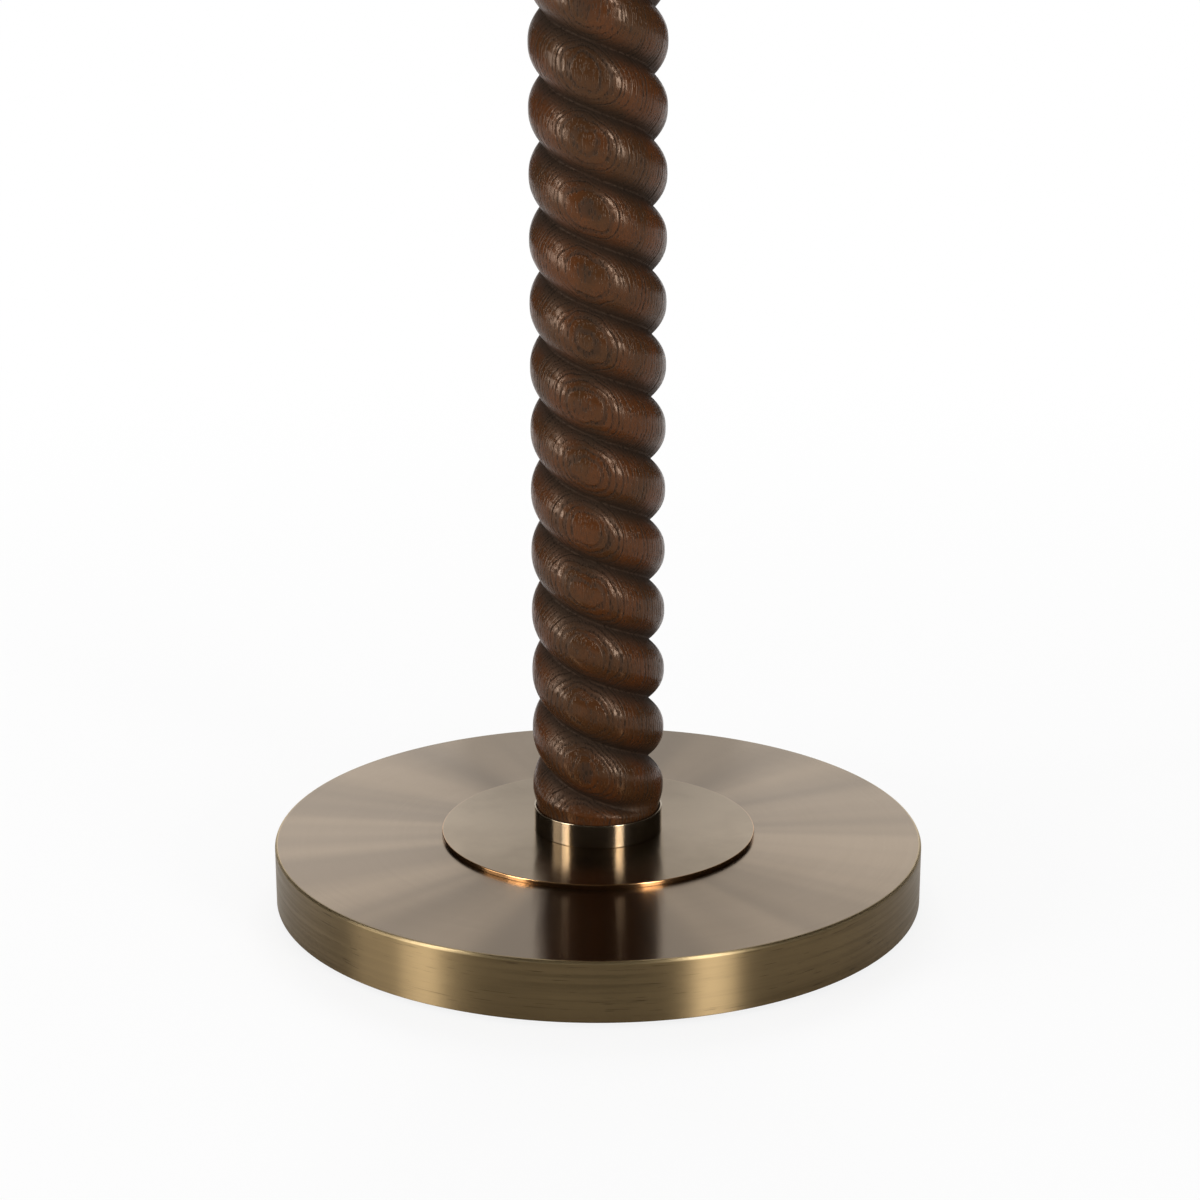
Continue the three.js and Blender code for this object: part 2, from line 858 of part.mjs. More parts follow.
// A pear-shaped solid: the bulb's outside, or its inside at a wall's depth.
function pear(wall, bottom) {
  const neckRadiusHere = bulbCapRadius - bulbNeckInset - wall;
  const globe = bulbRadius - wall;
  const globeHeight = bulbCapTop + bulbGlassHeight - bulbRadius;
  return turned(
    [
      [0, bottom],
      [neckRadiusHere, bottom],
      [neckRadiusHere, bulbCapTop + bulbNeckHeight],
      [(neckRadiusHere + globe) / 2, bulbCapTop + bulbFlareHeight],
      ...arc(0, globeHeight, globe, globe, globeStart, Math.PI / 2, globeSteps).slice(0, -1),
      [0, globeHeight + globe],
    ],
    stemSides,
  );
}

function bulbGlass() {
  return cut(pear(0, bulbCapTop), pear(bulbGlassWall, bulbCapTop - overrun));
}

// Shade

// Radius of the shade's outer face at a height.
function shadeRadius(height) {
  return THREE.MathUtils.mapLinear(height, shadeBottom, shadeTop, shadeBottomRadius, shadeTopRadius);
}

// A conical band on the shade. Its two faces stand off the cover's outer face by the given amounts.
function shadeBand(inward, outward, bottom, top) {
  return turned(
    [
      [shadeRadius(bottom) + inward, bottom],
      [shadeRadius(bottom) + outward, bottom],
      [shadeRadius(top) + outward, top],
      [shadeRadius(top) + inward, top],
    ],
    shadeSides,
  );
}

// A trim band over the cover's edge.
function shadeTrim(bottom) {
  return shadeBand(moveGap, moveGap + trimSheet, bottom, bottom + trimWidth);
}

// The wire rings lie inside the cover, clear of it even where it is narrower just above them.
function ringRadius(height) {
  return shadeRadius(height + shadeRingWire) - shadeSheet - moveGap - shadeRingWire;
}

function shadeRing(height) {
  const wire = arc(ringRadius(height), height, shadeRingWire, shadeRingWire, 0, 2 * Math.PI, ringWireSides);
  return turned(wire.slice(0, -1), shadeSides);
}

// One arm of the spider, along X from the washer's edge up to the flats of the top ring.
function spiderArm() {
  const start = spiderWasherRadius + moveGap;
  const ringFlat = ringRadius(shadeRingTopHeight) * Math.cos(Math.PI / shadeSides);
  const path = new THREE.LineCurve3(
    new THREE.Vector3(start, 0, spiderBottom + spiderArmRadius),
    new THREE.Vector3(ringFlat - shadeRingWire - moveGap, 0, shadeRingTopHeight),
  );
  return new THREE.ExtrudeGeometry(circle(spiderArmRadius, wireSides), { steps: 1, extrudePath: path });
}

function finial() {
  const footTop = finialBottom + finialFootHeight;
  const neckStart = footTop + finialTaper;
  const neckEnd = neckStart + finialNeckHeight;
  const knobCentre = neckEnd - finialKnob * Math.sin(finialKnobStart);
  const body = turned(
    [
      [0, finialBottom],
      [finialFoot, finialBottom],
      [finialFoot, footTop],
      [finialNeck, neckStart],
      [finialNeck, neckEnd],
      ...arc(0, knobCentre, finialKnob, finialKnob, finialKnobStart, Math.PI / 2, globeSteps).slice(0, -1),
      [0, knobCentre + finialKnob],
    ],
    stemSides,
  );
  const holeTop = studSeatTop + studLength + moveGap;
  return cut(body, bar(studHole, finialBottom - overrun, holeTop, stemSides));
}

// Assembly

// A group of named meshes from rows of name, geometry and material.
function groupOf(...pieces) {
  const group = new THREE.Group();
  for (const [name, geometry, material] of pieces) {
    const mesh = new THREE.Mesh(geometry, material);
    mesh.name = name;
    group.add(mesh);
  }
  return group;
}

function baseGroup() {
  const group = groupOf(
    ['floor_pad', floorPad(), blackFelt],
    ['base_cover', baseCover(), zincSteel],
    ['base_weight', baseWeight(), castIron],
    ['base_shell', baseShell(), satinBrass],
    ['cord_bushing', cordBushing(), blackPlastic],
  );
  group.getObjectByName('cord_bushing').position.set(0, baseRadius + moveGap - bushingLength, cordHeight);
  coverScrewPlaces().forEach(([x, y], i) => {
    const screw = groupOf([`cover_screw_${i + 1}`, coverScrew(), zincSteel]);
    screw.position.set(x, y, 0);
    group.add(screw);
  });
  return group;
}

function stemGroup() {
  return groupOf(
    ['rod_nut', rodNut(), zincSteel],
    ['spring_washer', springWasher(), zincSteel],
    ['rod_washer', tube(washerRadius, rodHole, washerBottom, recessTop, stemSides), zincSteel],
    ['threaded_rod', tube(rodRadius, rodBore, nutBottom - rodTail, socketNeckTop, stemSides), zincSteel],
    ['foot_plate', footPlate(), brightBrass],
    ['lower_collar', collar(plateTop, plateTop + collarHeight), brightBrass],
    ['rope_column', ropeColumn(), stainedOak],
    ['upper_collar', collar(capBottom, capBottom - collarHeight), brightBrass],
    ['top_cap', topCap(), brightBrass],
    ['neck', neck(), brightBrass],
    ['lock_nut', tube(lockNutRadius, rodHole, saddleTop, socketBottom, stemSides), brightBrass],
  );
}

function lampholderGroup() {
  const group = groupOf(
    ['socket_cap', socketCap(), brightBrass],
    ['socket_shell', socketShell(), brightBrass],
    ['socket_liner', socketLiner(), greyBoard],
    ['socket_insulator', socketInsulator(), blackPlastic],
    ['screw_shell', screwShell(), nickel],
    ['centre_contact', centreContact(), brightBrass],
    ['live_terminal', terminalScrew(), brightBrass],
    ['neutral_terminal', terminalScrew(), nickel],
    ['switch_spindle', switchSpindle(), zincSteel],
    ['switch_knob', switchKnob(), blackPlastic],
    ['bulb_cap', bulbCap(), nickel],
    ['bulb_glass', bulbGlass(), opalGlass],
  );
  group.getObjectByName('live_terminal').position.z = terminalHeight;
  const neutral = group.getObjectByName('neutral_terminal');
  neutral.position.z = terminalHeight;
  neutral.rotation.z = Math.PI;
  return group;
}

function harpGroup() {
  const group = groupOf(
    ['harp_saddle', harpSaddle(), brightBrass],
    ['harp', harp(), brightBrass],
    ['harp_stud', harpStud(), brightBrass],
    ['harp_sleeve_left', harpSleeve(), brightBrass],
    ['harp_sleeve_right', harpSleeve(), brightBrass],
  );
  group.getObjectByName('harp_sleeve_left').position.x = -sleeveOffset;
  group.getObjectByName('harp_sleeve_right').position.x = sleeveOffset;
  return group;
}

function shadeGroup() {
  const group = groupOf(
    ['shade_cover', shadeBand(-shadeSheet, 0, shadeBottom, shadeTop), linen],
    ['shade_trim_top', shadeTrim(shadeTop - trimWidth), linen],
    ['shade_trim_bottom', shadeTrim(shadeBottom), linen],
    ['shade_ring_top', shadeRing(shadeRingTopHeight), zincSteel],
    ['shade_ring_bottom', shadeRing(shadeRingBottomHeight), zincSteel],
    ['spider_washer', tube(spiderWasherRadius, studHole, spiderBottom, spiderTop, stemSides), brightBrass],
    ['finial', finial(), brightBrass],
  );
  for (let i = 0; i < spiderArmCount; i++) {
    const arm = groupOf([`spider_arm_${i + 1}`, spiderArm(), brightBrass]);
    // The first arm points to the rear.
    arm.rotation.z = Math.PI / 2 + (i * 2 * Math.PI) / spiderArmCount;
    group.add(arm);
  }
  return group;
}

const lamp = new THREE.Group();
lamp.name = 'floor_lamp';
lamp.add(baseGroup(), stemGroup(), harpGroup(), lampholderGroup(), shadeGroup());

export default lamp;
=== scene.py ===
"""Floor lamp with a rope-turned oak column on a round brass base, dressed over its CAD frame.

Sizes are written in millimetres, as on the lamp's drawing, and meshes are made in metres.
"""

import bmesh
import bpy
import numpy as np
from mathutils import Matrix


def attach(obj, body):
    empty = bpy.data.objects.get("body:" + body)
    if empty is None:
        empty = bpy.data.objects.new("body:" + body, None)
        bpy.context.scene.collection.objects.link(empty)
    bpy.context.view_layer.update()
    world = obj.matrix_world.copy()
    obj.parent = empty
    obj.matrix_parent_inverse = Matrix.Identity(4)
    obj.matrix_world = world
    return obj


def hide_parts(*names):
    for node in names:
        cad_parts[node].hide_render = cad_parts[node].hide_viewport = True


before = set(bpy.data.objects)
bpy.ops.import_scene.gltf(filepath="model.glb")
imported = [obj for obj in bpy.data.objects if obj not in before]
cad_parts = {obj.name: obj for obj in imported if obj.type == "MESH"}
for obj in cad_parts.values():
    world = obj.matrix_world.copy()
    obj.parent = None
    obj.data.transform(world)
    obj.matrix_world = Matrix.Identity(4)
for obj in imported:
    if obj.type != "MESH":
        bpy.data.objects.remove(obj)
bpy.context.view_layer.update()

MM = 0.001
TAU = 2 * np.pi

# Heights on the stem
PAD_TOP = 2.0
CORD_HEIGHT = 10.4
BASE_CEILING = 25.5
BASE_TOP = 27.5
PLATE_TOP = 29.5
COLUMN_BOTTOM = 30.75
COLUMN_TOP = 1237.75
CAP_BOTTOM = 1239.0
CAP_TOP = 1244.0
NECK_TOP = 1268.0
SADDLE_TOP = 1269.6
LEDGE_TOP = 1279.6
SOCKET_BOTTOM = 1273.6
SOCKET_BOWL = 1287.6
SOCKET_TOP = 1337.3
SWITCH_HEIGHT = 1298.6
SCREW_BOTTOM = 1307.6
BULB_BOTTOM = 1310.9
BULB_CAP_TOP = 1335.9
BULB_NECK_TOP = 1343.9
BULB_CENTRE = 1387.9
LEG_BOTTOM = 1279.9
LEG_TOP = 1306.2
HARP_TOP = 1498.0
SEAT_TOP = 1503.0
WASHER_BOTTOM = 1503.3
WASHER_TOP = 1504.9
FINIAL_BOTTOM = 1505.2
STUD_TOP = 1517.0
FINIAL_CENTRE = 1527.73
SHADE_BOTTOM = 1240.7
SHADE_TOP = 1520.7

# Radii, and distances from the lamp's axis
ROD_HOLE = 5.5
PAD_RADIUS = 134.0
BASE_INSIDE = 138.0
BASE_RADIUS = 140.0
PLATE_RADIUS = 68.0
COLLAR_RADIUS = 27.8
SPIGOT_RADIUS = 26.5
COLUMN_RADIUS = 28.2
PRONG_PLACE = 32.2
SLEEVE_PLACE = 33.85
LEG_PLACE = 34.8
HARP_REACH = 58.0
SHELL_INSIDE = 17.6
SHELL_RADIUS = 18.3
SCREW_INSIDE = 14.1
SCREW_RADIUS = 14.6
BULB_CAP_RADIUS = 13.2
BULB_NECK = 12.4
BULB_RADIUS = 30.0
ARM_START = 13.0
ARM_END = 185.4
SHADE_TOP_RADIUS = 190.0
SHADE_BOTTOM_RADIUS = 215.0

# Lengths and thicknesses
COLLAR_HEIGHT = 10.3
COLLAR_WALL = 1.0
COLLAR_FLOOR = 1.25
SPIGOT_LENGTH = 8.6
GROOVE_RUN_OUT = 9.0
GROOVE_DEPTH = 6.6
GROOVE_HEIGHT = 9.5
STRAND_PITCH = 26.24
STRAND_FULLNESS = 2.4
SHEET = 1.6
PRONG_HEIGHT = 13.0
SLEEVE_LENGTH = 12.0
LAMP_PITCH = 3.6
BULB_FLARE = 14.0
GLASS = 0.9
ARM_RISE = 14.0
TRIM_WIDTH = 11.0

# Studio, in metres, and in degrees from the front
CARD_ANGLE = 155
CARD_RADII = (3.6, 3.6, 0.2)
CARD_HEIGHTS = (0.0, 3.4, 4.6)
FLOOR_RADIUS = 14
FLOOR_GAP = 0.0002
FILL_LIGHT = 0.55
CAMERA_PLACE = (0.00081, -1.0017, 0.4122)
CAMERA_TILT = 0.273
CAMERA_LENS = 73.41


# Surfaces


def unit(vectors):
    """Each vector divided by its own length."""
    return vectors / np.maximum(np.linalg.norm(vectors, axis=-1, keepdims=True), 1e-9)


def rounded(corners, radii, closed=True, steps=5):
    """Outline with each corner turned into an arc that touches both of its edges, and with a point
    just outside each end of the arc, so that smooth shading leaves the flats flat.
    The arc's ends lie radius * tan(turn / 2) from the corner, along its edges."""
    p = np.array(corners, float)
    arcs = rounded_corners(p, np.array(radii, float), steps)
    if closed:
        return arcs.reshape(-1, 2)
    return np.vstack([p[:1], arcs[1:-1].reshape(-1, 2), p[-1:]])


def rounded_corners(p, r, steps):
    """For each corner, its arc's points and the two points outside it: an array of
    (corner, point, 2). The arc is (sin((1-k)t) start + sin(kt) end) / sin(t) about its centre,
    t being how far the outline turns there."""
    before, after = np.roll(p, 1, 0) - p, np.roll(p, -1, 0) - p
    before_length = np.linalg.norm(before, axis=1, keepdims=True)
    after_length = np.linalg.norm(after, axis=1, keepdims=True)
    before, after = before / before_length, after / after_length
    opening = np.arccos(np.clip((before * after).sum(1), -1, 1))
    turn = np.maximum(np.pi - opening, 1e-3)
    room = 0.42 * np.minimum(before_length, after_length)[:, 0]
    reach = np.minimum(r * np.tan(turn / 2), room)
    radius = reach / np.tan(turn / 2)
    start, end = p + before * reach[:, None], p + after * reach[:, None]
    centre = p + unit(before + after) * (radius / np.cos(turn / 2))[:, None]
    k = np.linspace(0, 1, steps)[None, :, None]
    t = turn[:, None, None]
    spread = np.sin((1 - k) * t) * (start - centre)[:, None] + np.sin(k * t) * (end - centre)[:, None]
    bow = centre[:, None] + spread / np.sin(t)
    margin = np.minimum(0.12 * room, 0.25)[:, None]
    first, last = (start + before * margin)[:, None], (end + after * margin)[:, None]
    return np.concatenate([first, bow, last], 1)


def grid_faces(rows, columns, rows_close, columns_close):
    """Quads of a grid of rows by columns of points, each from a point to the next in both
    directions, wrapping round where that direction closes."""
    i = np.arange(rows if rows_close else rows - 1)[:, None]
    j = np.arange(columns if columns_close else columns - 1)[None, :]
    i2, j2 = (i + 1) % rows, (j + 1) % columns
    corners = (i * columns + j, i * columns + j2, i2 * columns + j2, i2 * columns + j)
    return np.stack(np.broadcast_arrays(*corners), -1).reshape(-1, 4)


def turned(outline, sides=128, waves=None):
    """Surface turned about Z: each outline point (radius, height) goes to
    (radius cos a, radius sin a, height) for angles a all round. waves(a, radius, height) is added
    to the radius. An outline that meets the axis at both ends stays open there and closes in a point."""
    outline = np.array(outline, float)
    angles = np.linspace(0, TAU, sides, endpoint=False)[None, :]
    radius = np.repeat(outline[:, :1], sides, 1)
    height = np.repeat(outline[:, 1:], sides, 1)
    if waves is not None:
        radius = radius + waves(angles, radius, height)
    points = polar(radius, angles, height)
    closed = outline[0, 0] > 0 or outline[-1, 0] > 0
    return points.reshape(-1, 3), grid_faces(len(outline), sides, closed, True)


def swept(path, side, section, scale=None):
    """Closed bar along a flat path: section point (u, v) goes to path + u side + v (side x along),
    where side is the unit vector square to the path's plane. scale, one number for each path point,
    shrinks the section. Both ends are closed with a flat fan."""
    path, section = np.array(path, float), np.array(section, float)
    side = np.array(side, float)
    across = np.cross(side, unit(np.gradient(path, axis=0)))
    size = np.ones(len(path)) if scale is None else np.array(scale, float)
    offset = section[None, :, :1] * side + section[None, :, 1:] * across[:, None]
    rows = path[:, None] + offset * size[:, None, None]
    ends = np.repeat(path[[0, -1]][:, None], len(section), 1)
    points = np.concatenate([ends[:1], rows, ends[1:]])
    return points.reshape(-1, 3), grid_faces(len(points), len(section), False, True)


def box(inner, outer, bottom, top):
    """Corners of an outline's rectangle, from its inner radius to its outer one."""
    return [(inner, bottom), (outer, bottom), (outer, top), (inner, top)]


def polar(radius, angle, height):
    """Points (radius cos angle, radius sin angle, height)."""
    points = np.broadcast_arrays(radius * np.cos(angle), radius * np.sin(angle), height)
    return np.stack(points, -1)


def upright(points):
    """Points (x, z) as (x, 0, z)."""
    return np.stack([points[:, 0], 0 * points[:, 0], points[:, 1]], -1)


def ring_of(radius, sides):
    """Circle of points (radius cos a, radius sin a)."""
    return polar(radius, np.linspace(0, TAU, sides, endpoint=False), 0)[:, :2]


def smooth(share):
    """3 s^2 - 2 s^3, with s held between 0 and 1."""
    s = np.clip(share, 0, 1)
    return s * s * (3 - 2 * s)


def bezier(points, steps):
    """Cubic curve: the sum of the four points with weights (1-t)^3, 3t(1-t)^2, 3t^2(1-t), t^3."""
    t = np.linspace(0, 1, steps)[:, None]
    p = np.array(points, float)
    return (1 - t) ** 3 * p[0] + 3 * t * (1 - t) ** 2 * p[1] + 3 * t**2 * (1 - t) * p[2] + t**3 * p[3]


def arc(radius, height, wide, tall, start, end, steps):
    """Points (radius + wide cos a, height + tall sin a) with a from start to end in degrees."""
    a = np.radians(np.linspace(start, end, steps))
    return np.stack([radius + wide * np.cos(a), height + tall * np.sin(a)], -1)


def joined(*surfaces):
    """Several surfaces as one list of points and faces, each keeping its own points."""
    starts = np.cumsum([0] + [len(points) for points, _ in surfaces[:-1]])
    faces = [f + start for (_, f), start in zip(surfaces, starts)]
    return np.vstack([points for points, _ in surfaces]), np.vstack(faces)


def along_y(surface, height):
    """Surface turned about Z, laid over so that its axis runs along Y at that height:
    (x, y, z) goes to (x, z, height - y)."""
    points, faces = surface
    x, y, z = points.T
    return np.stack([x, z, height - y], -1), faces


def with_rows(outline, radius, heights):
    """Outline with points at those heights added along its longest upright wall at that radius,
    and the place of the first of them in the outline."""
    outline = np.array(outline, float)
    ahead = np.roll(outline, -1, 0)
    here, there = (np.isclose(rows[:, 0], radius, atol=1e-6) for rows in (outline, ahead))
    last = np.argmax(np.where(here & there, np.abs(ahead[:, 1] - outline[:, 1]), 0))
    ordered = heights if ahead[last, 1] > outline[last, 1] else heights[::-1]
    added = np.stack([np.full(len(heights), radius), ordered], -1)
    return np.insert(outline, last + 1, added, 0), last + 1


def pierced(outline, sides, walls, angle, height, radius, half, steps=8):
    """Turned shell with a round hole through its upright wall, whose two faces have the radii in
    walls. A square window of the grid round the hole is left out, and rings of points that pass
    from the square to the circle fill it. The circle is (radius cos b, height + radius sin b) on
    the wall, b being the direction of each point of the square from the hole's middle."""
    levels = height + np.linspace(-half, half, steps + 1)
    rows, first = np.array(outline, float), []
    for wall in walls:
        rows, start = with_rows(rows, wall, levels)
        first = [f + (steps + 1) * (f >= start) for f in first] + [start]
    reach = half / walls[0]
    window = np.linspace(-reach, reach, steps + 1)
    rest = np.linspace(reach, TAU - reach, sides)[1:-1]
    angles = angle + np.concatenate([window, rest])
    columns = len(angles)
    grid = polar(rows[:, :1], angles, rows[:, 1:])
    faces = grid_faces(len(rows), columns, True, True)
    face_row, face_column = np.divmod(np.arange(len(faces)), columns)
    inside = face_column < steps
    gone = np.zeros(len(faces), bool)
    for start in first:
        gone |= inside & (face_row >= start) & (face_row < start + steps)
    points, faces = [grid.reshape(-1, 3)], [faces[~gone]]
    n = np.arange(steps)
    u = np.concatenate([n, np.full(steps, steps), steps - n, np.zeros(steps, int)])
    v = np.roll(u, steps)
    count, rims = len(rows) * columns, []
    for wall, start in zip(walls, first):
        loop = (start + v) * columns + u
        turn, level = window[u], rows[start + v, 1]
        direction = np.arctan2(level - height, wall * np.sin(turn))
        circle_turn = np.arcsin(radius * np.cos(direction) / wall)
        circle_level = height + radius * np.sin(direction)
        for share in (0.4, 0.8, 1.0):
            a = angle + turn * (1 - share) + circle_turn * share
            z = level * (1 - share) + circle_level * share
            points.append(polar(wall, a, z))
            ring = count + np.arange(4 * steps)
            faces.append(np.stack([loop, np.roll(loop, -1), np.roll(ring, -1), ring], -1))
            loop, count = ring, count + 4 * steps
        order = np.argsort(direction)
        rims.append(ring[order])
    outer, inner = rims
    faces.append(np.stack([outer, np.roll(outer, -1), np.roll(inner, -1), inner], -1))
    return np.vstack(points), np.vstack(faces)


def add_object(name, data):
    """Object with that data, in the scene."""
    made = bpy.data.objects.new(name, data)
    bpy.context.scene.collection.objects.link(made)
    return made


def piece(name, surface, material, slot, body, *nodes):
    """Object in metres from a surface in millimetres. Points in the same place become one, which
    closes seams and poles, faces are turned outwards, and shading is smooth."""
    points, faces = surface
    mesh = bpy.data.meshes.new(name)
    mesh.from_pydata(points * MM, [], faces.tolist())
    work = bmesh.new()
    work.from_mesh(mesh)
    bmesh.ops.remove_doubles(work, verts=work.verts, dist=1e-7)
    bmesh.ops.recalc_face_normals(work, faces=work.faces)
    work.to_mesh(mesh)
    work.free()
    mesh.polygons.foreach_set("use_smooth", np.ones(len(mesh.polygons), bool))
    mesh.materials.append(material)
    obj = add_object(name, mesh)
    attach(obj, body)
    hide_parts(*nodes)
    return obj


# Node helpers


class Value:
    """Output of a node, which formulas add, subtract, multiply and divide."""

    def __init__(self, socket):
        self.socket = socket
        self.tree = socket.id_data

    def __add__(self, other):
        return calc("ADD", self, other)

    def __radd__(self, other):
        return calc("ADD", other, self)

    def __sub__(self, other):
        return calc("SUBTRACT", self, other)

    def __rsub__(self, other):
        return calc("SUBTRACT", other, self)

    def __mul__(self, other):
        return calc("MULTIPLY", self, other)

    def __truediv__(self, other):
        return calc("DIVIDE", self, other)


def put(socket, value):
    """Sets an input to a value, or links it to an output."""
    if isinstance(value, Value):
        value.tree.links.new(value.socket, socket)
    else:
        socket.default_value = value


def node(tree, kind, inputs=(), **settings):
    """Adds a node of that kind with its settings and inputs, and gives its outputs, each by its
    number and by its name."""
    made = tree.nodes.new(kind)
    for key, value in settings.items():
        setattr(made, key, value)
    for key, value in dict(inputs).items():
        put(made.inputs[key], value)
    outputs = dict(enumerate(map(Value, made.outputs)))
    outputs.update((value.socket.name, value) for value in list(outputs.values()))
    return outputs


def calc(operation, *values, clamp=False):
    """Result of one sum on numbers and outputs, held between 0 and 1 if it is clamped."""
    tree = next(value.tree for value in values if isinstance(value, Value))
    return node(tree, "ShaderNodeMath", enumerate(values), operation=operation, use_clamp=clamp)[0]


def band(value, low, high, start=0.0, end=1.0):
    """start below low, end above high, and smooth between."""
    limits = {"Value": value, "From Min": low, "From Max": high, "To Min": start, "To Max": end}
    return node(value.tree, "ShaderNodeMapRange", limits, interpolation_type="SMOOTHSTEP")[0]


def blend(share, first, second):
    """Colour that is the first where share is 0 and the second where it is 1. Each is an output,
    or three numbers."""
    first, second = [(*c, 1) if isinstance(c, tuple) else c for c in (first, second)]
    return node(share.tree, "ShaderNodeMix", {0: share, 6: first, 7: second}, data_type="RGBA")[2]


def toned(body, mask, strength, tone):
    """Colour that moves towards a tone by a mask times a strength."""
    return blend(mask * strength, body, tone)


def noise(vector, scale, detail=2.0, roughness=0.5, w=None):
    """Smooth random values about 0.5. w, where it is given, is a fourth coordinate."""
    given = {"Vector": vector, "Scale": scale, "Detail": detail, "Roughness": roughness}
    if w is None:
        return node(vector.tree, "ShaderNodeTexNoise", given)[0]
    return node(vector.tree, "ShaderNodeTexNoise", {**given, "W": w}, noise_dimensions="4D")[0]


def stretch(vector, across, along):
    """Coordinates scaled by one number across the lamp's axis and by another along it."""
    given = {"Vector": vector, "Scale": (across, across, along)}
    return node(vector.tree, "ShaderNodeMapping", given)[0]


def combine(x, y, z):
    """Three values as one set of coordinates."""
    return node(x.tree, "ShaderNodeCombineXYZ", enumerate((x, y, z)))[0]


def length(x, y):
    """sqrt(x^2 + y^2)"""
    return calc("SQRT", x * x + y * y)


def place(tree):
    """The point on the lamp in metres, as coordinates and as X, Y and Z, and its distance from the
    lamp's axis."""
    whole = node(tree, "ShaderNodeTexCoord")["Object"]
    split = node(tree, "ShaderNodeSeparateXYZ", {"Vector": whole})
    x, y, z = split["X"], split["Y"], split["Z"]
    return whole, x, y, z, length(x, y)


def new_group(name, inputs, outputs):
    """Empty node group with float inputs (name, default) and float outputs. Gives, as seen from
    inside it, the values of its inputs and the sockets of its outputs."""
    tree = bpy.data.node_groups.new(name, "ShaderNodeTree")
    for label, default in inputs:
        socket = tree.interface.new_socket(label, in_out="INPUT", socket_type="NodeSocketFloat")
        socket.default_value = default
    for label in outputs:
        tree.interface.new_socket(label, in_out="OUTPUT", socket_type="NodeSocketFloat")
    return tree, node(tree, "NodeGroupInput"), tree.nodes.new("NodeGroupOutput").inputs


def use_group(tree, group, **inputs):
    """Places a node group with its own values, and gives its outputs."""
    given = {key.replace("_", " "): value for key, value in inputs.items()}
    return node(tree, "ShaderNodeGroup", given, node_tree=group)


def new_material(name, **values):
    """Material with a Principled shader whose plain values are set on its own sockets."""
    material = bpy.data.materials.new(name)
    material.use_nodes = True
    tree = material.node_tree
    shader = tree.nodes["Principled BSDF"]
    for key, value in values.items():
        shader.inputs[key.replace("_", " ")].default_value = value
    return material, tree, shader


def brushed_round(tree, shader, amount):
    """Makes metal smoother in the direction round the lamp's axis, as turning and brushing do."""
    tangent = node(tree, "ShaderNodeTangent", direction_type="RADIAL", axis="Z")[0]
    put(shader.inputs["Tangent"], tangent)
    shader.inputs["Anisotropic"].default_value = amount
    shader.inputs["Anisotropic Rotation"].default_value = 0.25


def finish(shader, body, rough, height, depth, strength):
    """Feeds a shader's colour, roughness and normal. The normal is bumped by a height from 0 to 1
    times a depth in millimetres."""
    relief = {"Height": height, "Strength": strength, "Distance": depth * MM}
    normal = node(height.tree, "ShaderNodeBump", relief)[0]
    for key, value in (("Base Color", body), ("Roughness", rough), ("Normal", normal)):
        put(shader.inputs[key], value)


# Effects that several finishes share


def turning_marks():
    """Fine lines round the lamp's axis, as a lathe or a spinning brush leaves them, and slow
    changes of tone round the axis. The base's brass uses these as lighter and darker wedges, random tone
    that also paints the reflection fans of circular brushing."""
    inputs = [("Lines per metre", 2200.0), ("Fans", 2.5)]
    tree, given, result = new_group("turning_marks", inputs, ["Lines", "Tone"])
    _, x, y, z, radius = place(tree)
    angle_x, angle_y = x / radius, y / radius
    lines, fans = given["Lines per metre"], given["Fans"]
    across = combine(radius * lines, z * lines, angle_x * 1.4)
    put(result["Lines"], noise(across, 1.0, 3.0, 0.65, w=angle_y * 1.4))
    around = combine(angle_x * fans, angle_y * fans, 0.0)
    put(result["Tone"], noise(around, 1.0, 2.0, 0.55))
    return tree


def handling():
    """Cloudy handling marks and fine specks that dull a finish a little."""
    tree, given, result = new_group("handling", [("Scale", 14.0)], ["Clouds", "Specks"])
    whole, *_ = place(tree)
    put(result["Clouds"], band(noise(whole, given["Scale"], 4.0, 0.6), 0.35, 0.68))
    put(result["Specks"], band(noise(whole, 900.0, 1.0, 0.5), 0.68, 0.8))
    return tree


TURNING = turning_marks()
HANDLING = handling()


def clouds_of(tree, scale):
    """Cloudy handling marks alone, at that scale."""
    return use_group(tree, HANDLING, Scale=scale)["Clouds"]


# Finishes


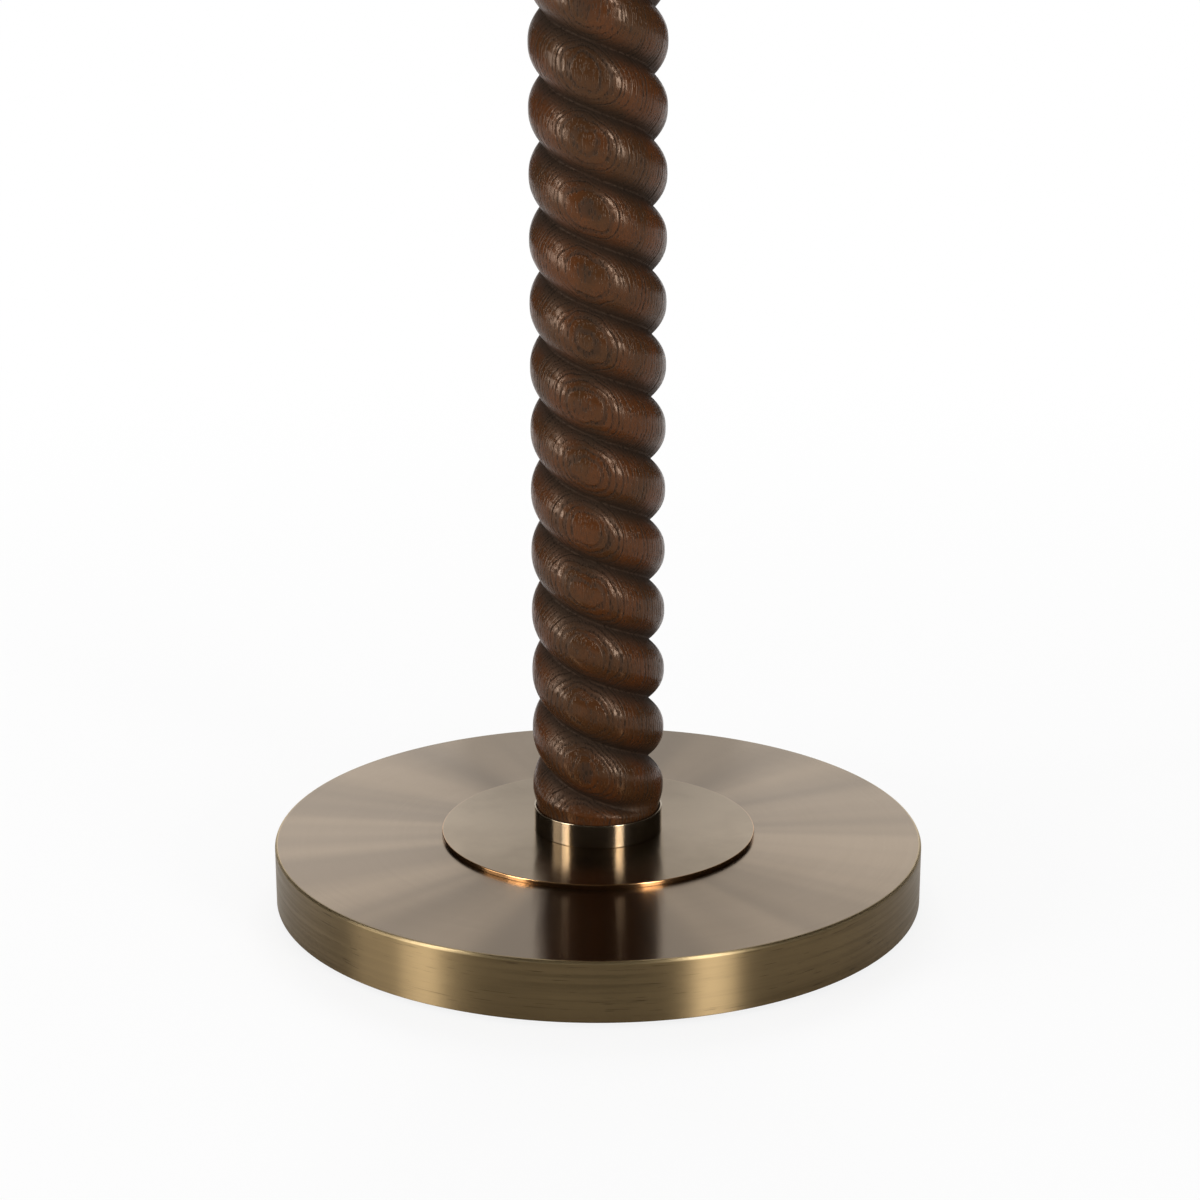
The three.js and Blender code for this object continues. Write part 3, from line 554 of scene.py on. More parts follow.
def brushed_brass():
    """Antique brass of the base, brushed in circles. Its side has more saturated and slightly darker tones
    than its top, painted shade on the side, and lighter and darker wedges round the axis are random tone and
    painted reflection fans. Its side has coarser marks and short dark scratches, and its rounded edge is
    worn brighter, a tone that is also a painted highlight along the rim."""
    tint = (1.0, 0.97, 0.93, 1.0)
    material, tree, shader = new_material("antique_brass", Metallic=1.0, Specular_Tint=tint)
    brushed_round(tree, shader, 1.0)
    whole, _, _, z, radius = place(tree)
    marks = use_group(tree, TURNING, Lines_per_metre=1500.0, Fans=3.0)
    # fans: random tone round the axis that also paints the reflection fans of circular brushing
    lines, fans = marks["Lines"], band(marks["Tone"], 0.34, 0.66)
    clouds = clouds_of(tree, 9.0)
    side = band(radius, 0.1392, 0.1399)
    coarse = use_group(tree, TURNING, Lines_per_metre=620.0, Fans=3.0)["Lines"]
    coarse = band(coarse, 0.42, 0.62) * side
    scratches = band(noise(stretch(whole, 75, 1700), 1.0, 1.0), 0.66, 0.74) * side
    # The side's tones are more saturated and a little darker than the top's: painted shade on the side
    light = blend(side, (0.236, 0.180, 0.129), (0.207, 0.145, 0.071))
    dark = blend(side, (0.154, 0.117, 0.086), (0.190, 0.133, 0.065))
    # Lighter and darker wedges round the axis: random tone and painted reflection fans
    body = blend(fans, dark, light)
    body = toned(body, coarse, 0.14, (0.09, 0.062, 0.03))
    body = toned(body, scratches, 0.6, (0.05, 0.034, 0.018))
    body = toned(body, lines, 0.3, (0.13, 0.094, 0.052))
    body = toned(body, clouds, 0.12, (0.15, 0.108, 0.06))
    # The rounded rim's brighter tone is wear, and also a painted highlight along the rim
    edge = band(radius, 0.1386, 0.1393) * band(z, 0.0260, 0.0268)
    edge = edge * band(lines, 0.25, 0.6, 0.6, 1.0)
    body = blend(edge, body, (0.40, 0.30, 0.16))
    rough = lines * 0.04 + coarse * 0.05 + (0.12 + side * 0.18) + edge * 0.12 + clouds * 0.03
    finish(shader, body, rough, lines, 0.03, 0.5)
    return material


def polished_brass(name, tones, round_marks, roughness, edge=None):
    """Brass of the fittings: smooth, with faint turning marks where the piece is turned on a lathe,
    and worn to a redder tone beyond the radius of its edge, where it has one. That tone is also a painted
    coppery highlight on the edge."""
    material, tree, shader = new_material(name, Metallic=1.0)
    wear = use_group(tree, HANDLING, Scale=30.0)
    clouds, lines = wear["Clouds"], wear["Specks"]
    relief = clouds, 0.02, 0.25
    if round_marks:
        brushed_round(tree, shader, 0.8)
        lines = use_group(tree, TURNING, Lines_per_metre=2600.0, Fans=2.0)["Lines"]
        relief = lines, 0.012, 0.4
    body = toned(blend(clouds, *tones), lines, 0.2, (0.26, 0.16, 0.07))
    if edge:
        *_, radius = place(tree)
        # The edge's redder tone is wear, and also a painted coppery highlight
        body = blend(band(radius, edge - 0.0004, edge), body, (0.42, 0.235, 0.105))
    finish(shader, body, clouds * 0.05 + roughness, *relief)
    return material


def stained_oak():
    """Dark stained open-grained oak. Growth rings are shells about a pith in front of the column,
    so the crest of each strand shows them as ovals. Each ring starts with a dark band of open pores.
    The grooves are darker: stain that pools there, and painted shade."""
    tint = (1.0, 0.74, 0.55, 1.0)
    material, tree, shader = new_material("stained_oak", Specular_IOR_Level=0.27, Specular_Tint=tint)
    whole, x, y, z, radius = place(tree)
    drift = noise(stretch(whole, 24, 7), 1.0, 3.0)
    waver = noise(stretch(whole, 150, 42), 1.0, 1.0)
    sway = calc("SINE", z * 5.3)
    distance = length(x + 0.0145, y + (0.075 + sway * 0.007)) + drift * 0.009 + waver * 0.0026
    uneven = noise(combine(distance * 260.0, 0.0, 0.0), 1.0, 2.0)
    years = distance * 560.0 + uneven * 2.0
    season, number = calc("FRACT", years), calc("FLOOR", years)
    year = node(tree, "ShaderNodeTexWhiteNoise", {"W": number}, noise_dimensions="1D")[0]
    shown = noise(stretch(whole, 80, 60), 1.0, 1.0)
    early = band(season, 0.0, 0.12) * band(season, 0.18, 0.55, 1.0, 0.0)
    early = early * band(year, 0.0, 0.9, 0.35, 1.0) * band(shown, 0.36, 0.56, 0.45, 1.0)
    given = {"Vector": stretch(whole, 1150, 290), "Scale": 1.0}
    cells = node(tree, "ShaderNodeTexVoronoi", given)["Distance"]
    pores = band(cells, 0.28, 0.46, 1.0, 0.0) * band(early, 0.0, 0.35, 0.4, 1.0)
    fibre = noise(stretch(whole, 1900, 110), 1.0, 2.0, 0.6)
    # Darker towards the grooves: stain pooled there, and painted shade of the strands over them
    groove = band(radius, 0.0226, 0.0275, 1.0, 0.0)
    patches = band(noise(stretch(whole, 60, 34), 1.0, 2.0), 0.38, 0.64)
    body = blend(patches, (0.050, 0.0198, 0.0068), (0.075, 0.0232, 0.0064))
    body = toned(body, fibre, 0.5, (0.030, 0.0135, 0.0055))
    body = toned(body, early, 0.72, (0.013, 0.006, 0.0033))
    body = toned(body, pores, 0.6, (0.007, 0.004, 0.002))
    body = toned(body, groove, 0.82, (0.011, 0.0065, 0.004))
    rough = 0.2 + early * 0.45 + groove * 0.45 + pores * 0.3
    hollow = early * 0.5 + pores * 0.5 + fibre * 0.06
    finish(shader, body, rough, 1.0 - hollow, 0.3, 1.0)
    return material


def plain_metal(name, light, dark, roughness, grain, depth, metallic=1.0):
    """Metal with an even, fine grain: zinc plating, nickel plating or sand-cast iron."""
    material, tree, shader = new_material(name, Metallic=metallic)
    clouds = clouds_of(tree, 35.0)
    whole, *_ = place(tree)
    fine = noise(whole, grain, 3.0, 0.6)
    finish(shader, blend(clouds, light, dark), roughness + fine * 0.15, fine, depth, 0.5)
    return material


def threaded_steel():
    """Zinc-plated rod whose thread is a wave that climbs one pitch of 1.5 mm in a turn. Its roots are
    painted darker than its crests: painted shade in the roots of a thread that is only bump.
    """
    material, tree, shader = new_material("zinc_steel_thread", Metallic=1.0)
    _, x, y, z, _ = place(tree)
    turn = calc("ARCTAN2", y, x) / TAU
    crest = calc("PINGPONG", z / (1.5 * MM) - turn, 0.5)
    # Darker in the thread's roots: painted shade
    body = blend(crest, (0.30, 0.30, 0.29), (0.62, 0.62, 0.60))
    finish(shader, body, 0.3 + crest * 0.2, crest, 0.6, 1.0)
    return material


def dull_surface(name, light, dark, roughness, scale, depth, **values):
    """Felt, plastic or fibre board: two near tones mixed by a fine texture that also bumps it."""
    material, tree, shader = new_material(name, **values)
    whole, *_ = place(tree)
    fine = noise(whole, scale, 4.0, 0.65)
    clouds = clouds_of(tree, 20.0)
    body = toned(blend(band(fine, 0.3, 0.7), light, dark), clouds, 0.3, dark)
    finish(shader, body, roughness + clouds * 0.06, fine, depth, 0.6)
    return material


def opal_glass():
    """White opal glass, glossy outside, with a faint cloudiness."""
    material, tree, shader = new_material("opal_glass", Coat_Weight=0.5, Coat_Roughness=0.05)
    clouds = clouds_of(tree, 45.0)
    body = blend(clouds, (0.74, 0.72, 0.67), (0.68, 0.66, 0.61))
    finish(shader, body, 0.2 + clouds * 0.05, clouds, 0.02, 0.3)
    return material


def bulb_cap_finish():
    """Nickel-plated cap with a ring of black glass round the solder tip."""
    material, tree, shader = new_material("nickel_cap")
    *_, z, radius = place(tree)
    clouds = clouds_of(tree, 60.0)
    glass = band(z, 1.3138, 1.3141, 1.0, 0.0) * band(radius, 0.0044, 0.0047)
    plated = blend(clouds, (0.62, 0.60, 0.56), (0.50, 0.48, 0.45))
    put(shader.inputs["Metallic"], 1.0 - glass)
    body = blend(glass, plated, (0.01, 0.01, 0.012))
    finish(shader, body, 0.22 + clouds * 0.1, clouds, 0.02, 0.3)
    return material


def linen(threads, light, dark):
    """Plain-woven linen with that many threads to a metre, on the piece's own flat pattern, in
    metres on its UV map. Warp and weft threads pass over and under each other, and each thread has
    its own thickness and tone. The cloth is painted darker where a thread dips under another: painted shade
    between the threads."""
    sheen = {"Sheen_Weight": 0.15, "Sheen_Roughness": 0.5}
    material, tree, shader = new_material("linen", Specular_IOR_Level=0.2, **sheen)
    pattern = node(tree, "ShaderNodeUVMap", uv_map="pattern")[0]
    split = node(tree, "ShaderNodeSeparateXYZ", {"Vector": pattern})
    u, v = split["X"] * threads, split["Y"] * threads
    warp_tone = noise(combine(u, v * 0.03, 0.0), 0.9, 1.0)
    weft_tone = noise(combine(u * 0.03, v, 7.0), 0.9, 1.0)
    warp, weft = calc("PINGPONG", u, 0.5), calc("PINGPONG", v, 0.5)
    square = calc("FLOOR", u) + calc("FLOOR", v)
    over = calc("GREATER_THAN", calc("FRACT", square * 0.5), 0.25)
    height = calc("MAXIMUM", warp * (1.0 + over), weft * (2.0 - over))
    slub = band(calc("MAXIMUM", warp_tone, weft_tone), 0.52, 0.72)
    # Darker where the weave is low: painted shade between the threads
    body = blend(calc("MULTIPLY", height, 0.9, clamp=True), dark, light)
    body = toned(body, slub, 0.35, dark)
    finish(shader, body, 0.85 + slub * 0.1, height + slub * 0.5, 0.25, 0.5)
    return material


BASE_BRASS = brushed_brass()
PLATE_TONES = (0.225, 0.172, 0.110), (0.19, 0.142, 0.088)
FITTING_TONES = (0.30, 0.243, 0.170), (0.26, 0.207, 0.140)
PLATE_BRASS = polished_brass("polished_brass_plate", PLATE_TONES, True, 0.15, edge=0.0678)
TURNED_BRASS = polished_brass("polished_brass", FITTING_TONES, True, 0.17)
DRAWN_BRASS = polished_brass("polished_brass_drawn", FITTING_TONES, False, 0.20)
OAK = stained_oak()
ZINC = plain_metal("zinc_steel", (0.55, 0.56, 0.55), (0.42, 0.43, 0.42), 0.3, 900.0, 0.01)
THREAD = threaded_steel()
IRON = plain_metal("cast_iron", (0.06, 0.06, 0.062), (0.035, 0.035, 0.036), 0.6, 500.0, 0.4, 0.7)
NICKEL = plain_metal("nickel", (0.62, 0.60, 0.56), (0.50, 0.48, 0.45), 0.2, 1200.0, 0.005)
NICKEL_CAP = bulb_cap_finish()
FELT = dull_surface("felt", (0.022, 0.022, 0.022), (0.010, 0.010, 0.010), 0.9, 1600.0, 0.5, Sheen_Weight=0.3)
BLACK = dull_surface("black_plastic", (0.014, 0.013, 0.013), (0.009, 0.009, 0.009), 0.38, 1100.0, 0.03)
BOARD = dull_surface("fibre_board", (0.16, 0.145, 0.12), (0.11, 0.10, 0.085), 0.85, 700.0, 0.15)
OPAL = opal_glass()
LINEN = linen(1500.0, (0.67, 0.595, 0.475), (0.41, 0.345, 0.255))


# Base


def base_pieces():
    """Felt pad, brass shell with its cord hole, the bushing in it, and the foot plate."""
    pad = rounded(box(0, PAD_RADIUS, 0, PAD_TOP), [0, 0.6, 0.3, 0], closed=False)
    piece("felt_pad", turned(pad, 192), FELT, "felt", "stand", "floor_pad")
    outside = [(BASE_RADIUS, PAD_TOP), (BASE_RADIUS, BASE_TOP), (ROD_HOLE, BASE_TOP)]
    inside = [(ROD_HOLE, BASE_CEILING), (BASE_INSIDE, BASE_CEILING), (BASE_INSIDE, PAD_TOP)]
    shell = rounded(outside + inside, [0.3, 1.2, 0.2, 0.1, 0.8, 0.3], steps=7)
    walls = (BASE_RADIUS, BASE_INSIDE)
    surface = pierced(shell, 320, walls, np.pi / 2, CORD_HEIGHT, radius=6.4, half=7.6)
    piece("brass_base", surface, BASE_BRASS, "antique_brass", "stand", "base_shell")
    bore, stem, flange = 4, 6, 8
    inner_end, shoulder, outer_end = 129.3, 140.3, 141.8
    bushing = rounded(
        [(bore, inner_end), (stem, inner_end), (stem, shoulder)]
        + [(flange, shoulder), (flange, outer_end), (bore, outer_end)],
        [0.2, 0.4, 0.1, 0.2, 0.6, 1.0],
    )
    surface = along_y(turned(bushing, 64), CORD_HEIGHT)
    piece("bushing", surface, BLACK, "black_plastic", "stand", "cord_bushing")
    plate = box(ROD_HOLE, PLATE_RADIUS, BASE_TOP, PLATE_TOP)
    plate = rounded(plate, [0.1, 0.2, 0.45, 0.1], steps=8)
    piece("plate", turned(plate, 256), PLATE_BRASS, "polished_brass", "stand", "foot_plate")


# Column and its collars


def collar(floor, rim):
    """Outline of a cup whose floor is at one height and its open rim at another."""
    inside = floor + np.sign(rim - floor) * COLLAR_FLOOR
    inner = COLLAR_RADIUS - COLLAR_WALL
    corners = [(ROD_HOLE, floor), (COLLAR_RADIUS, floor), (COLLAR_RADIUS, rim)]
    corners += [(inner, rim), (inner, inside), (ROD_HOLE, inside)]
    return rounded(corners, [0.1, 0.25, 0.35, 0.35, 0.5, 0.1])


def rope(rows=1000, strand_columns=44):
    """Two strands wound round the axis. At place p across a strand, from -1 to 1, the radius is
    the crest's less the groove's depth times |p| to the strand's power. At both ends the groove
    runs out and the crest shrinks into a round spigot that fills the collar. Each row is turned
    with the spiral, so that the grid's lines run along the strands. The bore closes the surface."""
    height = np.linspace(COLUMN_BOTTOM, COLUMN_TOP, rows)[:, None]
    index = np.arange(2 * strand_columns)[None, :]
    across = 2 * (index % strand_columns) / strand_columns - 1
    from_end = np.minimum(height - COLUMN_BOTTOM, COLUMN_TOP - height)
    swell = smooth((from_end - SPIGOT_LENGTH) / GROOVE_RUN_OUT)
    strand = COLUMN_RADIUS - GROOVE_DEPTH * swell * np.abs(across) ** STRAND_FULLNESS
    radius = np.minimum(strand, SPIGOT_RADIUS + (COLUMN_RADIUS - SPIGOT_RADIUS) * swell)
    twist = np.pi - np.pi * (height - GROOVE_HEIGHT) / STRAND_PITCH
    angle = twist + TAU * index / (2 * strand_columns)
    bore = polar(ROD_HOLE, angle, height)[[-1, 0]]
    points = np.concatenate([polar(radius, angle, height), bore])
    return points.reshape(-1, 3), grid_faces(rows + 2, 2 * strand_columns, True, True)


def column_pieces():
    """Rope-turned column, a collar round each end, and the cap and neck that stand on it."""
    piece("column", rope(), OAK, "stained_oak", "stand", "rope_column")
    low = collar(PLATE_TOP, PLATE_TOP + COLLAR_HEIGHT)
    high = collar(CAP_BOTTOM, CAP_BOTTOM - COLLAR_HEIGHT)
    piece("collar_low", turned(low, 160), TURNED_BRASS, "polished_brass", "stand", "lower_collar")
    piece("collar_high", turned(high, 160), TURNED_BRASS, "polished_brass", "stand", "upper_collar")
    foot, shoulder = 20, 12
    cap = rounded(
        [(ROD_HOLE, CAP_BOTTOM), (foot, CAP_BOTTOM), (foot, CAP_BOTTOM + 2)]
        + [(shoulder, CAP_TOP), (ROD_HOLE, CAP_TOP)],
        [0.1, 0.3, 0.7, 0.5, 0.1],
    )
    piece("cap", turned(cap, 128), TURNED_BRASS, "polished_brass", "stand", "top_cap")
    foot, tube, lip = 11, 8, 9
    stem = rounded(
        [(ROD_HOLE, CAP_TOP), (foot, CAP_TOP), (foot, CAP_TOP + 3), (tube, CAP_TOP + 5)]
        + [(tube, NECK_TOP - 3), (lip, NECK_TOP - 2), (lip, NECK_TOP), (ROD_HOLE, NECK_TOP)],
        [0.1, 0.3, 1.0, 1.5, 0.8, 0.5, 0.5, 0.1],
    )
    piece("neck_tube", turned(stem, 96), TURNED_BRASS, "polished_brass", "stand", "neck")


# Harp


def harp_path(steps=64):
    """The harp's wire in the XZ plane: straight legs, one curve out to the widest place, one in to
    the flat across the top, and the same mirrored."""
    leg, wide, turn_in, flat = LEG_PLACE, HARP_REACH, 37.0, 9.0
    widest = LEG_TOP + 0.4 * (HARP_TOP - LEG_TOP)
    low_reach, high_reach = (widest - LEG_TOP) / 2, 0.6 * (HARP_TOP - widest)
    low = [(leg, LEG_TOP), (leg, LEG_TOP + low_reach), (wide, widest - low_reach), (wide, widest)]
    high = [(wide, widest), (wide, widest + high_reach), (turn_in, HARP_TOP), (flat, HARP_TOP)]
    legs = np.stack([np.full(8, leg), np.linspace(LEG_BOTTOM, LEG_TOP, 9)[:-1]], -1)
    right = np.vstack([legs, bezier(low, steps)[:-1], bezier(high, steps), [(0, HARP_TOP)]])
    both = np.vstack([right * (-1, 1), right[-2::-1]])
    return upright(both)


def flat_bar(thickness, width, edge, steps=4):
    """Section of a flat bar with rounded edges, its width along the sweep's side."""
    x, y = width / 2, thickness / 2
    return rounded(box(-x, x, -y, y), edge, steps=steps)


def saddle():
    """Washer round the rod, and on each side an arm bent up and out with a prong on it. The left
    side is the right one with x turned to -x."""
    rim = 11.5
    washer = rounded(box(ROD_HOLE, rim, NECK_TOP, SADDLE_TOP), 0.3)
    low, high = SADDLE_TOP - SHEET / 2, LEDGE_TOP - SHEET / 2
    bends = [(7, low), (rim, low), (28.4, high), (37.5, high)]
    path = rounded(bends, [0, 3.5, 3.5, 0], closed=False, steps=9)
    arm = swept(upright(path), (0, 1, 0), flat_bar(SHEET, width=8.0, edge=0.4))
    rise = np.linspace(LEDGE_TOP - 1, LEDGE_TOP + PRONG_HEIGHT, 24)
    tip = np.clip((LEDGE_TOP + PRONG_HEIGHT - rise) / 2.2, 0, 1)
    taper = 0.55 + 0.45 * np.sqrt(1 - (1 - tip) ** 2)
    prong_path = np.stack([np.full(24, PRONG_PLACE), 0 * rise, rise], -1)
    prong = swept(prong_path, (0, 1, 0), flat_bar(SHEET, width=3.2, edge=0.35), taper)
    points, faces = joined(arm, prong)
    return joined(turned(washer, 96), (points, faces), (points * (-1, 1, 1), faces))


def sleeve(x):
    """Ferrule that slides down over the prong and the harp's leg, beaded at both ends."""
    bore, waist, bead, z = 3.23, 4.0, 4.33, LEG_BOTTOM
    top = z + SLEEVE_LENGTH
    outline = rounded(
        [(bore, z), (bead, z), (bead, z + 2), (waist, z + 2.5)]
        + [(waist, z + 9.5), (bead, z + 10), (bead, top), (bore, top)],
        [0.15, 0.4, 0.4, 0.3, 0.3, 0.4, 0.4, 0.15],
    )
    points, faces = turned(outline, 64)
    return points + (x, 0, 0), faces


def harp_pieces():
    """Harp wire, its saddle and two sleeves, and the stud that the shade's washer sits on."""
    wire = swept(harp_path(), (0, 1, 0), ring_of(1.5, 20))
    piece("harp_wire", wire, DRAWN_BRASS, "polished_brass", "stand", "harp")
    piece("saddle", saddle(), DRAWN_BRASS, "polished_brass", "stand", "harp_saddle")
    for side, x in (("left", -SLEEVE_PLACE), ("right", SLEEVE_PLACE)):
        body, solid = f"{side}_sleeve", f"harp_sleeve_{side}"
        piece(f"sleeve_{side}", sleeve(x), DRAWN_BRASS, "polished_brass", body, solid)
    boss, seat, pin = 6.5, 11, 3.1
    low, high = HARP_TOP - 3.6, HARP_TOP + 3.6
    stud = rounded(
        [(0, low), (boss, low), (boss, high), (seat, high), (seat, SEAT_TOP)]
        + [(pin, SEAT_TOP), (pin, STUD_TOP), (0, STUD_TOP)],
        [0, 1.2, 0.3, 0.4, 0.4, 0.1, 0.5, 0],
        closed=False,
    )
    piece("shade_stud", turned(stud, 96), TURNED_BRASS, "polished_brass", "stand", "harp_stud")


# Lampholder and bulb


def knurl(angles, radius, height):
    """Ridges on the lock nut's rim: 36 teeth, 0.3 deep. Its bore has none."""
    return -0.3 * np.abs(np.sin(18 * angles)) * (radius > 9.5)


def thread(crest, depth, low, high):
    """Waves of a lamp thread: the radius loses depth (1 - cos t) / 2, with t a full turn more for
    each pitch of height, and less by the angle round the axis. They fade out at both ends."""

    def waves(angles, radius, height):
        fade = np.clip(np.minimum(height - low, high - height) / 1.5, 0, 1)
        on_wall = np.abs(radius - crest) < 0.6
        turn = TAU * (height - low) / LAMP_PITCH - angles
        return -depth * (0.5 - 0.5 * np.cos(turn)) * fade * on_wall

    return waves


def lampholder_pieces():
    """Knurled lock nut, bowl-shaped cap, outer shell with the switch's hole, and screw shell."""
    nut = rounded(box(ROD_HOLE, 10, SADDLE_TOP, SOCKET_BOTTOM), 0.3)
    surface = turned(nut, 288, knurl)
    piece("lock_ring", surface, DRAWN_BRASS, "polished_brass", "stand", "lock_nut")
    tube, z = 8, SOCKET_BOTTOM
    stem = [(ROD_HOLE, z), (tube - 0.3, z), (tube, z + 0.3), (tube, z + 5)]
    bowl = arc(tube, SOCKET_BOWL, 11.4, 8, -88, 0, 14)
    rim, top = SOCKET_BOWL + 7.6, SOCKET_BOWL + 7.95
    lip = [(19.4, rim), (19.2, top), (18.9, top), (18.7, rim)]
    inside = arc(tube, SOCKET_BOWL, 10.7, 7.3, 0, -84, 14)
    cap = np.vstack([stem, bowl, lip, inside, [(ROD_HOLE, SOCKET_BOWL - 7.3)]])
    piece("holder_cap", turned(cap, 128), TURNED_BRASS, "polished_brass", "stand", "socket_cap")
    walls = (SHELL_RADIUS, SHELL_INSIDE)
    low, bead = 1288.3, 19
    shell = rounded(
        [(SHELL_INSIDE, low), (SHELL_RADIUS, low), (SHELL_RADIUS, SOCKET_TOP - 2)]
        + [(bead, SOCKET_TOP - 1), (SHELL_RADIUS, SOCKET_TOP), (SHELL_INSIDE, SOCKET_TOP)],
        [0.1, 0.1, 0.4, 0.7, 0.4, 0.2],
    )
    surface = pierced(shell, 160, walls, -np.pi / 2, SWITCH_HEIGHT, radius=3.5, half=5.0)
    piece("holder_shell", surface, TURNED_BRASS, "polished_brass", "stand", "socket_shell")
    hole, z = 6, SCREW_BOTTOM
    screw = [(hole, z), (SCREW_RADIUS, z), (SCREW_RADIUS, z + 24)]
    screw += [(SCREW_INSIDE, z + 24), (SCREW_INSIDE, z + 0.5), (hole, z + 0.5)]
    screw = rounded(screw, 0.15, steps=4)
    for wall in (SCREW_RADIUS, SCREW_INSIDE):
        screw, _ = with_rows(screw, wall, np.arange(z + 2, z + 23, 0.3))
    crest = (SCREW_RADIUS + SCREW_INSIDE) / 2
    surface = turned(screw, 96, thread(crest, depth=0.6, low=z + 2, high=z + 22))
    piece("holder_thread", surface, NICKEL, "nickel", "stand", "screw_shell")


def switch_knob():
    """Boss round the spindle and a flat grip to turn it by, both along Y. The grip is a rounded bar
    whose section shrinks at its end, as the square root of 1 - e^2, e being the way into the end."""
    boss = rounded(box(2.3, 5, -24.7, -19.7), [0.2, 0.8, 0.3, 0.2])
    start, full = 24.2, 33.0
    end = full + 2.7 * np.sin(np.linspace(0.1, np.pi / 2, 12))
    out = np.concatenate([np.linspace(start, full, 12), end])
    soft = np.sqrt(1 - (np.maximum(out - full, 0) / 2.72) ** 2)
    path = np.stack([0 * out, -out, np.full(len(out), SWITCH_HEIGHT)], -1)
    grip = flat_bar(thickness=4.0, width=16.0, edge=1.6, steps=8)
    grip = swept(path, (0, 0, 1), grip, 0.38 + 0.62 * soft)
    return joined(along_y(turned(boss, 64), SWITCH_HEIGHT), grip)


def bulb_pieces():
    """Screw cap and glass. The glass rises straight from the cap, flares in a cubic curve and
    passes 20 degrees below its middle into a sphere. Its inner face lies square to the outer one."""
    z, wall, top = BULB_BOTTOM, BULB_CAP_RADIUS, BULB_BOTTOM + 25
    corners = [(0, z), (4, z), (4.4, z + 1), (11.2, z + 3), (wall, z + 5), (wall, top), (0, top)]
    cap = rounded(corners, [0, 0.9, 0.5, 1.0, 1.0, 0.5, 0], closed=False)
    cap, _ = with_rows(cap, wall, np.arange(z + 6, z + 22, 0.3))
    surface = turned(cap, 96, thread(wall, depth=0.9, low=z + 6, high=z + 21))
    piece("lamp_cap", surface, NICKEL_CAP, "nickel", "bulb", "bulb_cap")
    foot = np.stack([np.full(6, BULB_NECK), np.linspace(BULB_CAP_TOP, BULB_NECK_TOP, 6)], -1)
    start = np.array([BULB_NECK, BULB_NECK_TOP])
    below = np.radians(20)
    meet = np.array([BULB_RADIUS * np.cos(below), BULB_CENTRE - BULB_RADIUS * np.sin(below)])
    lean = BULB_FLARE * np.array([np.sin(below), np.cos(below)])
    flare = bezier([start, start + (0, BULB_FLARE), meet - lean, meet], 24)[1:-1]
    globe = arc(0, BULB_CENTRE, BULB_RADIUS, BULB_RADIUS, -20, 90, 40)
    globe[-1, 0] = 0
    outer = np.vstack([foot, flare, globe])
    along = unit(np.gradient(outer, axis=0))
    inner = outer - GLASS * np.stack([along[:, 1], -along[:, 0]], -1)
    inner[-1] = (0, outer[-1, 1] - GLASS)
    inner[0, 1] = BULB_CAP_TOP
    surface = turned(np.vstack([outer, inner[::-1]]), 128)
    piece("bulb_globe", surface, OPAL, "opal_glass", "bulb", "bulb_glass")


# Shade


def shade_radius(height):
    """Radius of the cover's outer face, straight from the bottom edge to the top edge."""
    share = (height - SHADE_BOTTOM) / (SHADE_TOP - SHADE_BOTTOM)
    return SHADE_BOTTOM_RADIUS + (SHADE_TOP_RADIUS - SHADE_BOTTOM_RADIUS) * share


def cone_band(low, high, inner, outer, edge):
    """Outline of a band on the shade's cone, its faces that far outside the cover's outer face."""
    corners = [(shade_radius(low) + inner, low), (shade_radius(low) + outer, low)]
    corners += [(shade_radius(high) + outer, high), (shade_radius(high) + inner, high)]
    return rounded(corners, edge, steps=4)


def values_of(items, key, kind):
    """One property of all of a mesh's vertices, corners or faces, as one array."""
    values = np.empty(len(items) * (3 if key == "co" else 1), kind)
    items.foreach_get(key, values)
    return values


def flat_pattern(obj):
    """UV map of the cone laid out flat, in metres: a point at distance s from the cone's tip and
    angle a round it goes to (s sin(k a), s cos(k a)), k being the cone's radius over its slant."""
    mesh = obj.data
    vertex = values_of(mesh.loops, "vertex_index", np.int32)
    points = values_of(mesh.vertices, "co", np.float32).reshape(-1, 3)[vertex]
    angle = np.arctan2(points[:, 0], -points[:, 1])
    first = values_of(mesh.polygons, "loop_start", np.int32)
    start = np.repeat(angle[first], np.diff(np.append(first, len(vertex))))
    angle = start + (angle - start + np.pi) % TAU - np.pi
    slope = (SHADE_BOTTOM_RADIUS - SHADE_TOP_RADIUS) / (SHADE_TOP - SHADE_BOTTOM)
    k = slope / np.hypot(1, slope)
    slant = np.hypot(points[:, 0], points[:, 1]) / k
    uv = np.stack([slant * np.sin(k * angle), slant * np.cos(k * angle)], -1)
    mesh.uv_layers.new(name="pattern").data.foreach_set("uv", uv.astype(np.float32).ravel())


